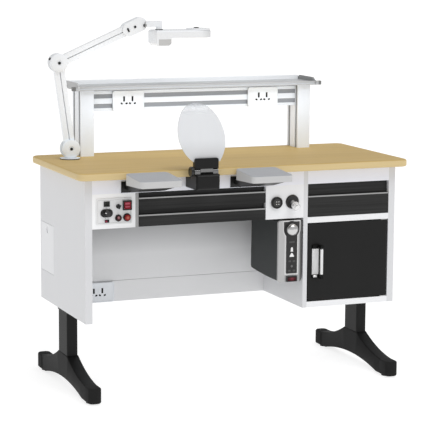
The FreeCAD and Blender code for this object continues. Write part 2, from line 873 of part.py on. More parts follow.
def make_door():
    """Cabinet door on two pivot pins, with a bow handle."""
    left = f"({CABINET_INNER} + door_gap)"
    right = f"({INNER_RIGHT} - door_gap)"
    low = "(carcass_bottom + floor_board + door_gap)"
    high = "(band_bottom - floor_board - door_gap)"
    ys = (FRONT, f"{FRONT} + front_thick")
    panel = prism("door_panel", "z", rectangle((left, right), ys), low, high)
    rounded(panel, "door_edge_round", level("y", FRONT))
    pivot_x = f"({right} - pivot_inset)"
    pivot_y = f"({FRONT} + pivot_inset)"
    deep = "(pivot_reach + pivot_play)"
    hole = "pivot_radius + running_fit"
    holes = [
        cylinder("pivot_hole_low", "z", (pivot_x, pivot_y, low), hole, deep),
        cylinder("pivot_hole_high", "z", (pivot_x, pivot_y, f"{high} - {deep}"), hole, deep),
    ]
    node(cut("door", panel, *holes), "cabinet_door")

    plate_x = (f"{pivot_x} - 2 * pivot_plate_half", f"{pivot_x} + pivot_inset")
    plate_y = (f"{FRONT} + pivot_play", f"{FRONT} + front_thick - pivot_play")
    pins = []
    for name, seat, step in (("low", "carcass_bottom + floor_board", 1),
                             ("high", "band_bottom - floor_board", -1)):
        plate_z = [seat, f"{seat} + {step} * pivot_plate"]
        pin_z = [seat, f"{seat} + {step} * (door_gap + pivot_reach)"]
        plate_z.sort(key=number)
        pin_z.sort(key=number)
        plate = box(f"pivot_plate_{name}", plate_x, plate_y, plate_z)
        length = f"({pin_z[1]}) - ({pin_z[0]})"
        pin = cylinder(f"pivot_pin_{name}", "z", (pivot_x, pivot_y, pin_z[0]), "pivot_radius", length)
        pins.append(fuse(f"pivot_{name}", plate, pin))
    node(group("pivots", pins), "door_pivots")

    handle_x = f"({left} + handle_side)"
    bar_y = f"({FRONT} - handle_stand)"
    bar_low = "(handle_height - handle_length / 2)"
    bar = cylinder("handle_bar", "z", (handle_x, bar_y, bar_low), "handle_radius", "handle_length")
    posts = []
    for name, post_z in (("low", f"{bar_low} + handle_post_inset"),
                         ("high", f"{bar_low} + handle_length - handle_post_inset")):
        at = (handle_x, FRONT, post_z)
        posts.append(cylinder(f"handle_post_{name}", "-y", at, "handle_post_radius", "handle_stand"))
    plate_left = f"({left} + handle_plate_side)"
    plate_size = rectangle(
        (plate_left, f"{plate_left} + handle_plate_width"),
        (f"{bar_low} + handle_plate_trim", f"{bar_low} + handle_length - handle_plate_trim"),
    )
    plate_front = f"{FRONT} - handle_plate_thick"
    plate = prism("handle_plate", "y", plate_size, plate_front, FRONT)
    rounded(plate, "edge_break", level("y", plate_front))
    node(fuse("handle", bar, plate, *posts), "door_handle")


def make_legs():
    """Tube columns on arched feet with glide pads."""
    columns = []
    feet = []
    pads = []
    half = "foot_length / 2"
    front = f"(carcass_shift - {half})"
    rear = f"(carcass_shift + {half})"
    arch = [
        (front, "pad_height"),
        (f"{front} + foot_sole", "pad_height", "-foot_arch"),
        (f"{rear} - foot_sole", "pad_height"),
        (rear, "pad_height"),
        (rear, "foot_end", "-foot_hollow"),
        ("carcass_shift + column_depth / 2", "foot_crown"),
        ("carcass_shift - column_depth / 2", "foot_crown", "-foot_hollow"),
        (front, "foot_end"),
    ]
    for side in (-1, 1):
        middle = f"({side} * (carcass_width - column_width) / 2)"
        xs = (f"{middle} - column_width / 2", f"{middle} + column_width / 2")
        ys = ("carcass_shift - column_depth / 2", "carcass_shift + column_depth / 2")
        tube = prism(f"tube_{side}", "z", rectangle(xs, ys), "foot_crown", "carcass_bottom")
        rounded(tube, "column_round", along("z"))
        bore = box(
            f"tube_bore_{side}",
            (f"{xs[0]} + column_wall", f"{xs[1]} - column_wall"),
            (f"{ys[0]} + column_wall", f"{ys[1]} - column_wall"),
            ("foot_crown", "carcass_bottom - flange_thick"),
        )
        outer = f"({side} * carcass_width / 2)"
        flange_x = [outer, f"{outer} - {side} * flange_width"]
        flange_x.sort(key=number)
        flange_y = ("carcass_shift - flange_depth / 2", "carcass_shift + flange_depth / 2")
        flange = box(
            f"flange_{side}", flange_x, flange_y, ("carcass_bottom - flange_thick", "carcass_bottom")
        )
        columns.append(fuse(f"column_{side}", cut(f"tube_open_{side}", tube, bore), flange))
        bounds = (f"{middle} - foot_width / 2", f"{middle} + foot_width / 2")
        foot = prism(f"foot_{side}", "x", arch, *bounds)
        rounded(foot, "foot_toe", lambda edge: along("x")(edge) and level("z", "foot_end")(edge))
        rounded(foot, "foot_round", level("x", *bounds))
        feet.append(foot)
        for end, pad_y in ((0, f"{front} + pad_inset"), (1, f"{rear} - pad_inset")):
            at = (middle, pad_y, "0")
            pads.append(cylinder(f"pad_{side}_{end}", "z", at, "pad_radius", "pad_height"))
    node(group("columns", columns), "columns")
    node(group("feet", feet), "feet")
    node(group("pads", pads), "foot_pads")


def notched(half, spots, deep, edge, inward):
    """Corners of rectangular notches in one side of an extrusion, in the order of spots."""
    corners = []
    step = 1 if number(spots[0]) < number(spots[-1]) else -1
    for spot in spots:
        before = f"{spot} - {step} * ({half})"
        after = f"{spot} + {step} * ({half})"
        corners += [(edge, before), (f"{edge} + {inward} * ({deep})", before)]
        corners += [(f"{edge} + {inward} * ({deep})", after), (edge, after)]
    return corners


def make_over_shelf():
    """Slotted uprights, grooved outlet rail, and a shelf framed by rails and end plates."""
    uprights = []
    centres = {}
    front = "upright_front"
    rear = "(upright_front + upright_depth)"
    middle_y = "(upright_front + upright_depth / 2)"
    spots = [f"{middle_y} - slot_pitch / 2", f"{middle_y} + slot_pitch / 2"]
    for side in (-1, 1):
        middle = f"(upright_shift + {side} * upright_pitch / 2)"
        centres[side] = middle
        left = f"({middle} - upright_width / 2)"
        right = f"({middle} + upright_width / 2)"
        section = [(left, front), (right, front)]
        section += notched("slot_width / 2", spots, "slot_deep", right, -1)
        section += [(right, rear), (left, rear)]
        section += notched("slot_width / 2", spots[::-1], "slot_deep", left, 1)
        uprights.append(prism(f"upright_{side}", "z", section, "top_height", SHELF_UNDER))
    node(group("upright_pair", uprights), "uprights")

    low, high = "rail_low", "(rail_low + rail_height)"
    back = "(rail_front + rail_thick)"
    centre = "(rail_low + rail_height / 2)"
    grooves = [f"{centre} + rail_groove_pitch / 2", f"{centre} - rail_groove_pitch / 2"]
    section = [("rail_front", low), (back, low), (back, high), ("rail_front", high)]
    section += notched("rail_groove / 2", grooves, "slot_deep", "rail_front", 1)
    rail_x = (f"{centres[-1]} + upright_width / 2", f"{centres[1]} - upright_width / 2")
    node(prism("rail", "x", section, *rail_x), "outlet_rail")

    shelf_x = ("shelf_shift - shelf_length / 2", "shelf_shift + shelf_length / 2")
    stop_x = (f"{shelf_x[0]} + shelf_end_in", f"{shelf_x[1]} - shelf_end_in")
    plate_x = (f"{stop_x[0]} + shelf_end_thick", f"{stop_x[1]} - shelf_end_thick")
    shelf_rear = "(shelf_front + shelf_depth)"
    plate_y = ("shelf_front + shelf_rail_thick", f"{shelf_rear} - shelf_rail_thick")
    node(box("shelf", plate_x, plate_y, (SHELF_UNDER, f"{SHELF_UNDER} + shelf_plate")), "shelf_plate")

    top = "(shelf_low + shelf_rail_height)"
    rail_back = "(shelf_front + shelf_rail_thick)"
    bead = ["shelf_low + shelf_rail_height / 2"]
    section = [("shelf_front", "shelf_low"), (rail_back, "shelf_low"), (rail_back, top)]
    section += [("shelf_front", top)]
    section += notched("shelf_rail_bead / 2", bead, "shelf_rail_bead / 2", "shelf_front", 1)
    front_rail = prism("shelf_rail_front", "x", section, *shelf_x)
    rear_in = f"({shelf_rear} - shelf_rail_thick)"
    rear_size = rectangle((rear_in, shelf_rear), ("shelf_low", "shelf_low + shelf_rear_height"))
    rear_rail = prism("shelf_rail_rear", "x", rear_size, *plate_x)
    rounded(rear_rail, "edge_break", level("z", "shelf_low + shelf_rear_height"))
    crest = f"({top} + shelf_end_rise)"
    profile = [
        (rail_back, "shelf_low"),
        (shelf_rear, "shelf_low"),
        (shelf_rear, top),
        (f"{shelf_rear} - shelf_end_slope", crest),
        ("shelf_front + shelf_end_slope", crest),
        ("shelf_front", top),
        (rail_back, top),
    ]
    frame = [front_rail, rear_rail]
    ends = ((stop_x[0], plate_x[0]), (plate_x[1], stop_x[1]))
    for index, bounds in enumerate(ends):
        frame.append(prism(f"shelf_end_{index}", "x", profile, *bounds))
    node(group("shelf_border", frame), "shelf_frame")


def outlet(name, x, face, z):
    """Power outlet plate with two three-slot sockets, on a face that looks forward."""
    xs = (f"{x} - outlet_width / 2", f"{x} + outlet_width / 2")
    zs = (f"{z} - outlet_height / 2", f"{z} + outlet_height / 2")
    front = f"({face} - outlet_thick)"
    plate = prism(f"{name}_plate", "y", rectangle(xs, zs), front, face)
    rounded(plate, "outlet_corner", along("y"))
    slots = []
    ys = (front, f"{front} + pin_slot_deep")
    for side in (-1, 1):
        middle = f"({x} + {side} * socket_pitch / 2)"
        for step, drop in ((-1, 0), (0, 1), (1, 0)):
            spot = f"({middle} + {step} * pin_slot_spread)"
            high = f"({z} + (1 - 2 * {drop}) * pin_slot_spread)"
            slots.append(box(
                f"{name}_slot_{side}_{step}",
                (f"{spot} - pin_slot_width / 2", f"{spot} + pin_slot_width / 2"),
                ys,
                (f"{high} - pin_slot_height / 2", f"{high} + pin_slot_height / 2"),
            ))
    return cut(name, plate, group(f"{name}_slots", slots))


def make_outlets():
    """Two outlets on the rail and one at the foot of the knee panel."""
    level_z = "(rail_low + rail_height / 2)"
    plates = [
        outlet("outlet_left", "(outlet_shift - outlet_pitch / 2)", "rail_front", level_z),
        outlet("outlet_right", "(outlet_shift + outlet_pitch / 2)", "rail_front", level_z),
        outlet("outlet_low", "low_outlet_x", KNEE, "low_outlet_z"),
    ]
    node(group("outlets", plates), "power_outlets")


def bar(name, start, angle, across):
    """One link of a lamp arm: rounded ends, a pin hole at each, turned to the arm's angle."""
    reach = "(arm_length - 2 * pivot_offset)"
    half = "bar_height / 2"
    shape = [
        ("0", f"-{half}"),
        (reach, f"-{half}", f"{half} * end_fullness"),
        (reach, half),
        ("0", half, f"{half} * end_fullness"),
    ]
    thick = ("-bar_thick / 2", "bar_thick / 2")
    link = prism(f"{name}_link", "y", shape, *thick)
    holes = [
        cylinder(f"{name}_hole_{i}", "y", (x, thick[0], "0"), "lamp_pin_radius + running_fit", "bar_thick")
        for i, x in enumerate(("0", reach))
    ]
    piece = cut(name, link, *holes)
    x = f"{start[0]} + pivot_offset * cos({angle}) - {across} * bar_pitch / 2 * sin({angle})"
    z = f"{start[1]} + pivot_offset * sin({angle}) + {across} * bar_pitch / 2 * cos({angle})"
    turn = FreeCAD.Rotation(Vector(0, 1, 0), -number(angle))
    return node(place(piece, (x, "lamp_y", z), turn), name)


def cheeks(name, shapes):
    """Pair of equal cheek plates on both sides of the bars, from turned-out outlines."""
    inner = "(bar_thick / 2 + cheek_gap)"
    plates = []
    for side in (-1, 1):
        for index, (x, z, radius) in enumerate(shapes):
            low = f"lamp_y + {inner}" if side > 0 else f"lamp_y - {inner} - cheek_thick"
            at = (x, low, z)
            plates.append(cylinder(f"{name}_cheek_{side}_{index}", "y", at, radius, "cheek_thick"))
    return plates


def pins(name, centre, angle, way):
    """Pair of pins that carry the two bars of an arm at a hub."""
    inner = "(bar_thick / 2 + cheek_gap)"
    made = []
    for across in (-1, 1):
        x = f"{centre[0]} + {way} * pivot_offset * cos({angle}) - {across} * bar_pitch / 2 * sin({angle})"
        z = f"{centre[1]} + {way} * pivot_offset * sin({angle}) + {across} * bar_pitch / 2 * cos({angle})"
        at = (x, f"lamp_y - {inner}", z)
        made.append(cylinder(f"{name}_pin_{across}", "y", at, "lamp_pin_radius", f"2 * {inner}"))
    return made


def make_lamp():
    """Lamp on two parallelogram arms: foot, swivel, bars, elbow, wrist, yoke and head."""
    foot_top = "(top_height + lamp_foot_thick)"
    disc_at = ("lamp_x", "lamp_y", "top_height")
    disc = cylinder("lamp_disc", "z", disc_at, "lamp_foot_radius", "lamp_foot_thick")
    at = ("lamp_x", "lamp_y", foot_top)
    spigot = cylinder("lamp_spigot", "z", at, "lamp_spigot_radius", "lamp_spigot_height")
    node(fuse("lamp_base", disc, spigot), "lamp_foot")

    outer = "(bar_thick / 2 + cheek_gap + cheek_thick)"
    neck_at = ("lamp_x", "lamp_y", f"{foot_top} + turn_gap")
    neck = cylinder("lamp_neck", "z", neck_at, "neck_radius", "lamp_spigot_height + cheek_thick")
    bore = "lamp_spigot_radius + running_fit"
    socket = cylinder("lamp_socket", "z", neck_at, bore, "lamp_spigot_height")
    base = ("lamp_x", HUB_Z)
    lower = "(90 + arm_lean)"
    fork = cheeks("base", [(*base, "hub_radius")]) + pins("base", base, lower, 1)
    node(cut("swivel", fuse("swivel_blank", neck, *fork), socket), "lamp_swivel")

    elbow = (ELBOW_X, ELBOW_Z)
    wrist = (WRIST_X, WRIST_Z)
    for across, letter in ((-1, "a"), (1, "b")):
        bar(f"lower_bar_{letter}", base, lower, across)
        bar(f"upper_bar_{letter}", elbow, "arm_rise", across)
    hub = cheeks("elbow", [(*elbow, "hub_radius")])
    hub += pins("elbow_low", elbow, lower, -1) + pins("elbow_high", elbow, "arm_rise", 1)
    node(fuse("elbow", *hub), "lamp_elbow")

    plates = []
    for side in (-1, 1):
        back = (f"{WRIST_X} - wrist_reach * cos(arm_rise)", f"{WRIST_Z} - wrist_reach * sin(arm_rise)")
        rise = ("wrist_half_height * sin(arm_rise)", "wrist_half_height * cos(arm_rise)")
        shape = [
            (f"{back[0]} + {rise[0]}", f"{back[1]} - {rise[1]}"),
            (f"{TILT_X} + {rise[0]}", f"{TILT_Z} - {rise[1]}", "wrist_half_height * end_fullness"),
            (f"{TILT_X} - {rise[0]}", f"{TILT_Z} + {rise[1]}"),
            (f"{back[0]} - {rise[0]}", f"{back[1]} + {rise[1]}", "wrist_half_height * end_fullness"),
        ]
        inner = "(bar_thick / 2 + cheek_gap)"
        low = f"lamp_y + {inner}" if side > 0 else f"lamp_y - {outer}"
        plates.append(prism(f"wrist_cheek_{side}", "y", shape, low, f"{low} + cheek_thick"))
    tilt_at = (TILT_X, f"lamp_y - {outer}", TILT_Z)
    tilt_pin = cylinder("tilt_pin", "y", tilt_at, "lamp_pin_radius", f"2 * {outer}")
    node(fuse("wrist", *plates, *pins("wrist", wrist, "arm_rise", -1), tilt_pin), "lamp_wrist")

    half = "yoke_radius"
    tongue = [
        (TILT_X, f"{TILT_Z} - {half}"),
        (HEAD_PIN_X, f"{TILT_Z} - {half}"),
        (HEAD_PIN_X, f"{TILT_Z} + {half}"),
        (TILT_X, f"{TILT_Z} + {half}", f"{half} * end_fullness"),
    ]
    link = prism("yoke_link", "y", tongue, "lamp_y - bar_thick / 2", "lamp_y + bar_thick / 2")
    boss_at = (HEAD_PIN_X, "lamp_y", f"{HEAD_TOP} + turn_gap")
    boss_length = "yoke_boss_height + yoke_radius - turn_gap"
    boss = cylinder("yoke_boss", "z", boss_at, "yoke_boss_radius", boss_length)
    tilt_hole = cylinder(
        "tilt_hole", "y", tilt_at, "lamp_pin_radius + running_fit", f"2 * {outer}"
    )
    pin_at = (HEAD_PIN_X, "lamp_y", f"{HEAD_TOP} - head_thick / 2")
    head_pin = cylinder("head_pin", "z", pin_at, "lamp_pin_radius", "head_thick / 2 + yoke_boss_height")
    node(cut("yoke", fuse("yoke_blank", link, boss, head_pin), tilt_hole), "lamp_yoke")

    head_left = f"({HEAD_PIN_X} - head_back)"
    head_right = f"({head_left} + head_length)"
    ys = ("(lamp_y - head_depth / 2)", "(lamp_y + head_depth / 2)")
    head_low = f"({HEAD_TOP} - head_thick)"
    plan = [
        (head_left, ys[0]),
        (f"{head_right} - head_depth / 2", ys[0], "head_depth / 2 * end_fullness"),
        (f"{head_right} - head_depth / 2", ys[1]),
        (head_left, ys[1]),
    ]
    shell = prism("head_shell", "z", plan, head_low, HEAD_TOP)
    rounded(shell, "head_round", level("z", HEAD_TOP))
    drop = f"({head_low} - ballast_drop)"
    box_right = f"({head_left} + ballast_length)"
    trough = [
        (f"{head_left} + ballast_chamfer", drop),
        (f"{box_right} - ballast_chamfer", drop),
        (box_right, f"{drop} + ballast_chamfer"),
        (box_right, f"{head_low} + bite"),
        (head_left, f"{head_low} + bite"),
        (head_left, f"{drop} + ballast_chamfer"),
    ]
    ballast = prism("ballast", "y", trough, *ys)
    hole_at = (HEAD_PIN_X, "lamp_y", f"{HEAD_TOP} - head_thick / 2 - bite")
    pin_hole = cylinder("head_hole", "z", hole_at, "lamp_pin_radius + running_fit", "head_thick")
    node(cut("head", fuse("head_blank", shell, ballast), pin_hole), "lamp_head")
    lens_x = (f"{box_right} + diffuser_margin", f"{head_right} - head_depth / 4")
    lens_y = ("lamp_y - diffuser_depth / 2", "lamp_y + diffuser_depth / 2")
    lens = prism("lens", "z", rectangle(lens_x, lens_y), f"{head_low} - diffuser_thick", head_low)
    rounded(lens, "diffuser_thick", along("z"))
    node(lens, "lamp_diffuser")


def make_suction():
    """Suction nozzle at the front edge, tilting shield above it, duct and blower behind."""
    left = "(nozzle_x - nozzle_width / 2)"
    right = "(nozzle_x + nozzle_width / 2)"
    lip = f"({TOP_FRONT} - nozzle_top_gap)"
    section = [
        (NOZZLE_FRONT, "nozzle_low"),
        (FRONT, "nozzle_low"),
        (FRONT, f"{UNDER_TOP} - nozzle_top_gap"),
        (lip, f"{UNDER_TOP} - nozzle_top_gap"),
        (lip, "nozzle_high"),
        (NOZZLE_FRONT, "nozzle_high"),
    ]
    shell = prism("nozzle_shell", "x", section, left, right)
    rounded(shell, "nozzle_round", level("y", NOZZLE_FRONT))
    mouth = box(
        "nozzle_mouth",
        ("nozzle_x - mouth_width / 2", "nozzle_x + mouth_width / 2"),
        (f"{NOZZLE_FRONT} + mouth_set", f"{NOZZLE_FRONT} + mouth_set + mouth_deep"),
        ("nozzle_low - bite", "nozzle_low + mouth_height"),
    )
    axis = (BARREL_Y, BARREL_Z)
    knuckles = []
    saddles = []
    for index, start in enumerate((left, f"({right} - barrel_end)")):
        at = (start, *axis)
        knuckles.append(cylinder(f"knuckle_{index}", "x", at, "barrel_radius", "barrel_end"))
        saddles.append(box(
            f"saddle_{index}",
            (start, f"{start} + barrel_end"),
            (f"{BARREL_Y} - barrel_radius", f"{BARREL_Y} + barrel_radius"),
            ("nozzle_high - bite", BARREL_Z),
        ))
    pin_from = f"{left} - shield_knob_length + edge_break"
    pin = cylinder("barrel_pin", "x", (pin_from, *axis), "barrel_pin_radius", f"{right} - ({pin_from})")
    body = cut("nozzle_open", shell, mouth)
    node(fuse("nozzle", body, *knuckles, *saddles, pin), "suction_nozzle")

    inner = (f"({left} + barrel_end + barrel_gap)", f"({right} - barrel_end - barrel_gap)")
    low = f"({BARREL_Z} + barrel_radius + cturn_gap)"
    ys = (f"{BARREL_Y} - clamp_thick / 2", f"{BARREL_Y} + clamp_thick / 2")
    block = prism("clamp_block", "y", rectangle((left, right), (low, f"{low} + clamp_height")), *ys)
    above = number(f"{low} + clamp_height / 2")
    rounded(block, "clamp_round", lambda edge: along("y")(edge) and edge.BoundBox.ZMin > above)
    span = f"{inner[1]} - {inner[0]}"
    knuckle = cylinder("clamp_knuckle", "x", (inner[0], *axis), "barrel_radius", span)
    web = box(
        "clamp_web",
        inner,
        (f"{BARREL_Y} - barrel_radius", f"{BARREL_Y} + barrel_radius"),
        (BARREL_Z, f"{low} + bite"),
    )
    foot = f"({low} + clamp_height - clamp_grip)"
    groove = box(
        "clamp_groove",
        (f"{left} - bite", f"{right} + bite"),
        (f"{BARREL_Y} - shield_thick / 2", f"{BARREL_Y} + shield_thick / 2"),
        (foot, f"{low} + clamp_height + bite"),
    )
    bore = cylinder("clamp_bore", "x", (left, *axis), "barrel_pin_radius + running_fit", "nozzle_width")
    node(cut("clamp", fuse("clamp_blank", block, knuckle, web), groove, bore), "shield_clamp")

    egg = [
        ("nozzle_x - shield_foot_left", foot),
        ("nozzle_x + shield_foot_right", foot, "shield_foot_bow"),
        ("nozzle_x + shield_right_out", f"{foot} + shield_right_rise", "shield_right_bow"),
        ("nozzle_x + shield_brow_out", f"{foot} + shield_brow_rise", "shield_brow_bow"),
        ("nozzle_x - shield_crown_out", f"{foot} + shield_crown_rise", "shield_crown_bow"),
        ("nozzle_x - shield_cheek_out", f"{foot} + shield_cheek_rise", "shield_cheek_bow"),
        ("nozzle_x - shield_left_out", f"{foot} + shield_left_rise", "shield_left_bow"),
    ]
    thick = (f"{BARREL_Y} - shield_thick / 2", f"{BARREL_Y} + shield_thick / 2")
    node(prism("shield_pane", "y", egg, *thick), "shield")

    bore_r = "(barrel_pin_radius + running_fit)"
    grip = [
        (bore_r, "0"),
        ("shield_knob_neck", "0"),
        ("shield_knob_radius", "shield_knob_length / 3"),
        ("shield_knob_radius", "shield_knob_length - edge_break"),
        ("shield_knob_radius - edge_break", "shield_knob_length"),
        ("0", "shield_knob_length"),
        ("0", "shield_knob_length - edge_break / 2"),
        (bore_r, "shield_knob_length - edge_break / 2"),
    ]
    knob = turned("shield_grip", grip, "x", (f"{left} - turn_gap", *axis))
    knob.Placement = FreeCAD.Placement(Vector(), FreeCAD.Rotation(Vector(0, 1, 0), -90))
    node(knob, "shield_knob")

    duct_x = ("nozzle_x - duct_width / 2", "nozzle_x + duct_width / 2")
    duct_z = (f"{UNDER_TOP} - nozzle_top_gap - duct_height", f"{UNDER_TOP} - nozzle_top_gap")
    duct = box("duct", duct_x, (f"{FRONT} + apron_thick", KNEE), duct_z)
    well_y = f"(({KNEE} + board + {REAR} - back_board) / 2)"
    blower_z = "carcass_bottom + floor_board"
    can = cylinder("blower_can", "z", ("blower_x", well_y, blower_z), "blower_radius", "blower_length")
    node(group("suction", [duct, can]), "suction_unit")


def make_control_box():
    """Control box at the left of the drawers with its plate, fittings and switches."""
    xs = (INNER_LEFT, CASE_LEFT)
    ys = (FRONT, f"{FRONT} + control_depth")
    zs = ("band_bottom", APRON_LOW)
    case = box("control_case", xs, ys, zs)
    hollow = box(
        "control_hollow",
        (f"{xs[0]} + control_wall", f"{xs[1]} - control_wall"),
        (f"{ys[0]} + control_wall", ys[1]),
        (f"{zs[0]} + control_wall", f"{zs[1]} - control_wall"),
    )
    node(cut("control", case, hollow), "control_box")
    plate_x = (f"{PLATE_X} - plate_width / 2", f"{PLATE_X} + plate_width / 2")
    plate_z = (f"{PLATE_Z} - plate_height / 2", f"{PLATE_Z} + plate_height / 2")
    plate = prism("control_face", "y", rectangle(plate_x, plate_z), PLATE_FACE, FRONT)
    rounded(plate, "plate_corner", along("y"))
    node(plate, "control_plate")

    fittings = []
    rocker_at = (f"({PLATE_X} + rocker_x)", f"({PLATE_Z} + rocker_z)")
    frame = rocker_frame("rocker", rocker_at, PLATE_FACE, "rocker_width", "rocker_height")
    fittings.append(frame)
    node(rocker("power_switch", rocker_at, PLATE_FACE, "rocker_width", "rocker_height"), "power_rocker")

    for label in ("start", "stop"):
        at = (f"({PLATE_X} + {label}_x)", f"({PLATE_Z} + {label}_z)")
        fittings.append(collar(label, at, PLATE_FACE, f"{label}_radius"))
        node(button(f"{label}_cap", at, PLATE_FACE, f"{label}_radius"), f"{label}_button")

    knob_at = (f"({PLATE_X} + knob_x)", f"({PLATE_Z} + knob_z)")
    run = "(knob_base_width - knob_base_height) / 2"
    tall = "knob_base_height / 2"
    oval = [
        (f"{knob_at[0]} - {run}", f"{knob_at[1]} - {tall}"),
        (f"{knob_at[0]} + {run}", f"{knob_at[1]} - {tall}", f"{tall} * end_fullness"),
        (f"{knob_at[0]} + {run}", f"{knob_at[1]} + {tall}"),
        (f"{knob_at[0]} - {run}", f"{knob_at[1]} + {tall}", f"{tall} * end_fullness"),
    ]
    fitting_face = f"({PLATE_FACE} - fitting_thick)"
    fittings.append(prism("knob_base", "y", oval, fitting_face, PLATE_FACE))
    node(dial("level_dial", knob_at, fitting_face, "knob_radius", "knob_length"), "speed_knob")

    pointer_at = (f"({PLATE_X} + pointer_x)", f"({PLATE_Z} + pointer_z)")
    seat_at = (pointer_at[0], PLATE_FACE, pointer_at[1])
    fittings.append(cylinder("pointer_seat", "-y", seat_at, "pointer_width / 2", "fitting_thick"))
    arrow = [
        (f"{pointer_at[0]} - pointer_width / 2", f"{pointer_at[1]} + pointer_width / 3"),
        (pointer_at[0], f"{pointer_at[1]} - pointer_width * 2 / 3"),
        (f"{pointer_at[0]} + pointer_width / 2", f"{pointer_at[1]} + pointer_width / 3"),
    ]
    arrow_y = (f"{fitting_face} - turn_gap - pointer_thick", f"{fitting_face} - turn_gap")
    pointer = prism("pointer", "y", arrow, *arrow_y)
    node(rounded(pointer, "fitting_thick / 2", along("y")), "mode_pointer")

    window_at = (f"{PLATE_X} + window_x", f"{PLATE_Z} + window_z")
    window_x = (f"{window_at[0]} - window_width / 2", f"{window_at[0]} + window_width / 2")
    window_z = (f"{window_at[1]} - window_height / 2", f"{window_at[1]} + window_height / 2")
    fittings.append(box("window", window_x, (fitting_face, PLATE_FACE), window_z))
    node(group("fittings", fittings), "control_fittings")


def rocker_frame(name, at, face, width, height):
    """Frame round a rocker switch on a face that looks forward, with the rocker's pin."""
    made = []
    for rim in (1, 0):
        half_x = f"({width} / 2 + rocker_gap + {rim} * rocker_frame)"
        half_z = f"({height} / 2 + rocker_gap + {rim} * rocker_frame)"
        made.append(box(
            f"{name}_rim_{rim}",
            (f"{at[0]} - {half_x}", f"{at[0]} + {half_x}"),
            (f"{face} - rocker_deep", face),
            (f"{at[1]} - {half_z}", f"{at[1]} + {half_z}"),
        ))
    half = f"({width} / 2 + rocker_gap + bite)"
    at = (f"{at[0]} - {half}", f"{face} - rocker_pivot", at[1])
    pin = cylinder(f"{name}_pin", "x", at, "rocker_pin_radius", f"2 * {half}")
    return fuse(f"{name}_frame", cut(f"{name}_ring", *made), pin)


def rocker(name, at, face, width, height):
    """Rocker with a dished front, a bore for its pin and a back that tapers away from it."""
    half = f"({height} / 2)"
    section = [
        (f"{face} - rocker_heel", f"{at[1]} - {half}"),
        (f"{face} - rocker_seat", at[1]),
        (f"{face} - rocker_heel", f"{at[1]} + {half}"),
        (f"{face} - rocker_deep - rocker_proud", f"{at[1]} + {half}"),
        (f"{face} - rocker_deep - rocker_proud + rocker_dish", at[1]),
        (f"{face} - rocker_deep - rocker_proud", f"{at[1]} - {half}"),
    ]
    ends = (f"{at[0]} - {width} / 2", f"{at[0]} + {width} / 2")
    start = (ends[0], f"{face} - rocker_pivot", at[1])
    bore = cylinder(f"{name}_bore", "x", start, "rocker_pin_radius + running_fit", width)
    return cut(name, prism(f"{name}_blank", "x", section, *ends), bore)


def collar(name, at, face, radius):
    """Ring that guides a push button."""
    inner = f"({radius} + button_fit)"
    ring = [
        (inner, "0"),
        (f"{inner} + button_collar", "0"),
        (f"{inner} + button_collar", "button_proud - edge_break"),
        (f"{inner} + button_collar - edge_break / 2", "button_proud"),
        (inner, "button_proud"),
    ]
    return turned(f"{name}_collar", ring, "-y", (at[0], face, at[1]))


def button(name, at, face, radius):
    """Domed push button with room behind it for its travel."""
    back = "(button_travel + cap_play)"
    top = f"(button_proud + {back})"
    half_section = [
        ("0", back),
        (radius, back),
        (radius, top),
        (f"{radius} - cap_edge", f"{top} + cap_edge"),
        ("0", f"{top} + cap_dome"),
    ]
    return turned(name, half_section, "-y", (at[0], face, at[1]))


def dial(name, at, face, radius, length):
    """Rotary knob with a skirt, a tapered grip and a broken front edge."""
    half_section = [
        ("0", "turn_gap"),
        (f"{radius} + dial_skirt", "turn_gap"),
        (f"{radius} + dial_skirt", "dial_skirt_height"),
        (radius, "dial_skirt_height + dial_skirt"),
        (f"{radius} - edge_break / 2", f"{length} - edge_break / 2"),
        (f"{radius} - edge_break", length),
        ("0", length),
    ]
    return turned(name, half_section, "-y", (at[0], face, at[1]))


def make_service_panel():
    """Service panel at the right of the drawers with pedal socket and air coupler."""
    ys = (FRONT, f"{FRONT} + apron_thick")
    node(box("service", (BAY_RIGHT, CABINET_LEFT), ys, ("band_bottom", APRON_LOW)), "service_panel")
    ring = [
        ("0", "0"),
        ("pedal_radius", "0"),
        ("pedal_radius", "pedal_proud - edge_break"),
        ("pedal_radius - edge_break", "pedal_proud"),
        ("pedal_bore_radius", "pedal_proud"),
        ("pedal_bore_radius", "pedal_proud - pedal_bore_deep"),
        ("0", "pedal_proud - pedal_bore_deep"),
    ]
    pedal = turned("pedal_ring", ring, "-y", ("pedal_x", FRONT, "pedal_z"))
    flange = [
        ("0", "0"),
        ("air_radius", "0"),
        ("air_radius", "air_thick - air_bevel"),
        ("air_radius - air_bevel", "air_thick"),
        ("0", "air_thick"),
    ]
    bezel = turned("air_bezel", flange, "-y", ("air_x", FRONT, "air_z"))
    slope = FreeCAD.Rotation(Vector(1, 0, 0), 90 + number("air_slope"))
    root = ("air_x", FRONT, "air_z")
    stem = doc.addObject("Part::Cylinder", "air_stem")
    stem.setExpression("Radius", cell("air_stem_radius"))
    stem.setExpression("Height", cell("air_stem_length + air_thick"))
    place(stem, root, slope)
    backing = box(
        "air_backing",
        ("air_x - air_radius", "air_x + air_radius"),
        (FRONT, f"{FRONT} + apron_thick"),
        ("air_z - air_radius", "air_z + air_radius"),
    )
    coupler = cut("air_coupler", fuse("air_blank", bezel, stem), backing)
    node(group("sockets", [pedal, coupler]), "service_sockets")

    bore = "(air_stem_radius + running_fit)"
    start = "(air_sleeve_start + air_thick)"
    stop = f"({start} + air_sleeve_length)"
    knurl = [
        (bore, start),
        ("air_sleeve_radius - edge_break", start),
        ("air_sleeve_radius", f"{start} + edge_break"),
        ("air_sleeve_radius", f"{stop} - edge_break"),
        ("air_sleeve_radius - edge_break", stop),
        (bore, stop),
    ]
    sleeve = turned("air_grip", knurl, "z", root)
    sleeve.Placement = FreeCAD.Placement(Vector(), slope)
    node(sleeve, "air_sleeve")


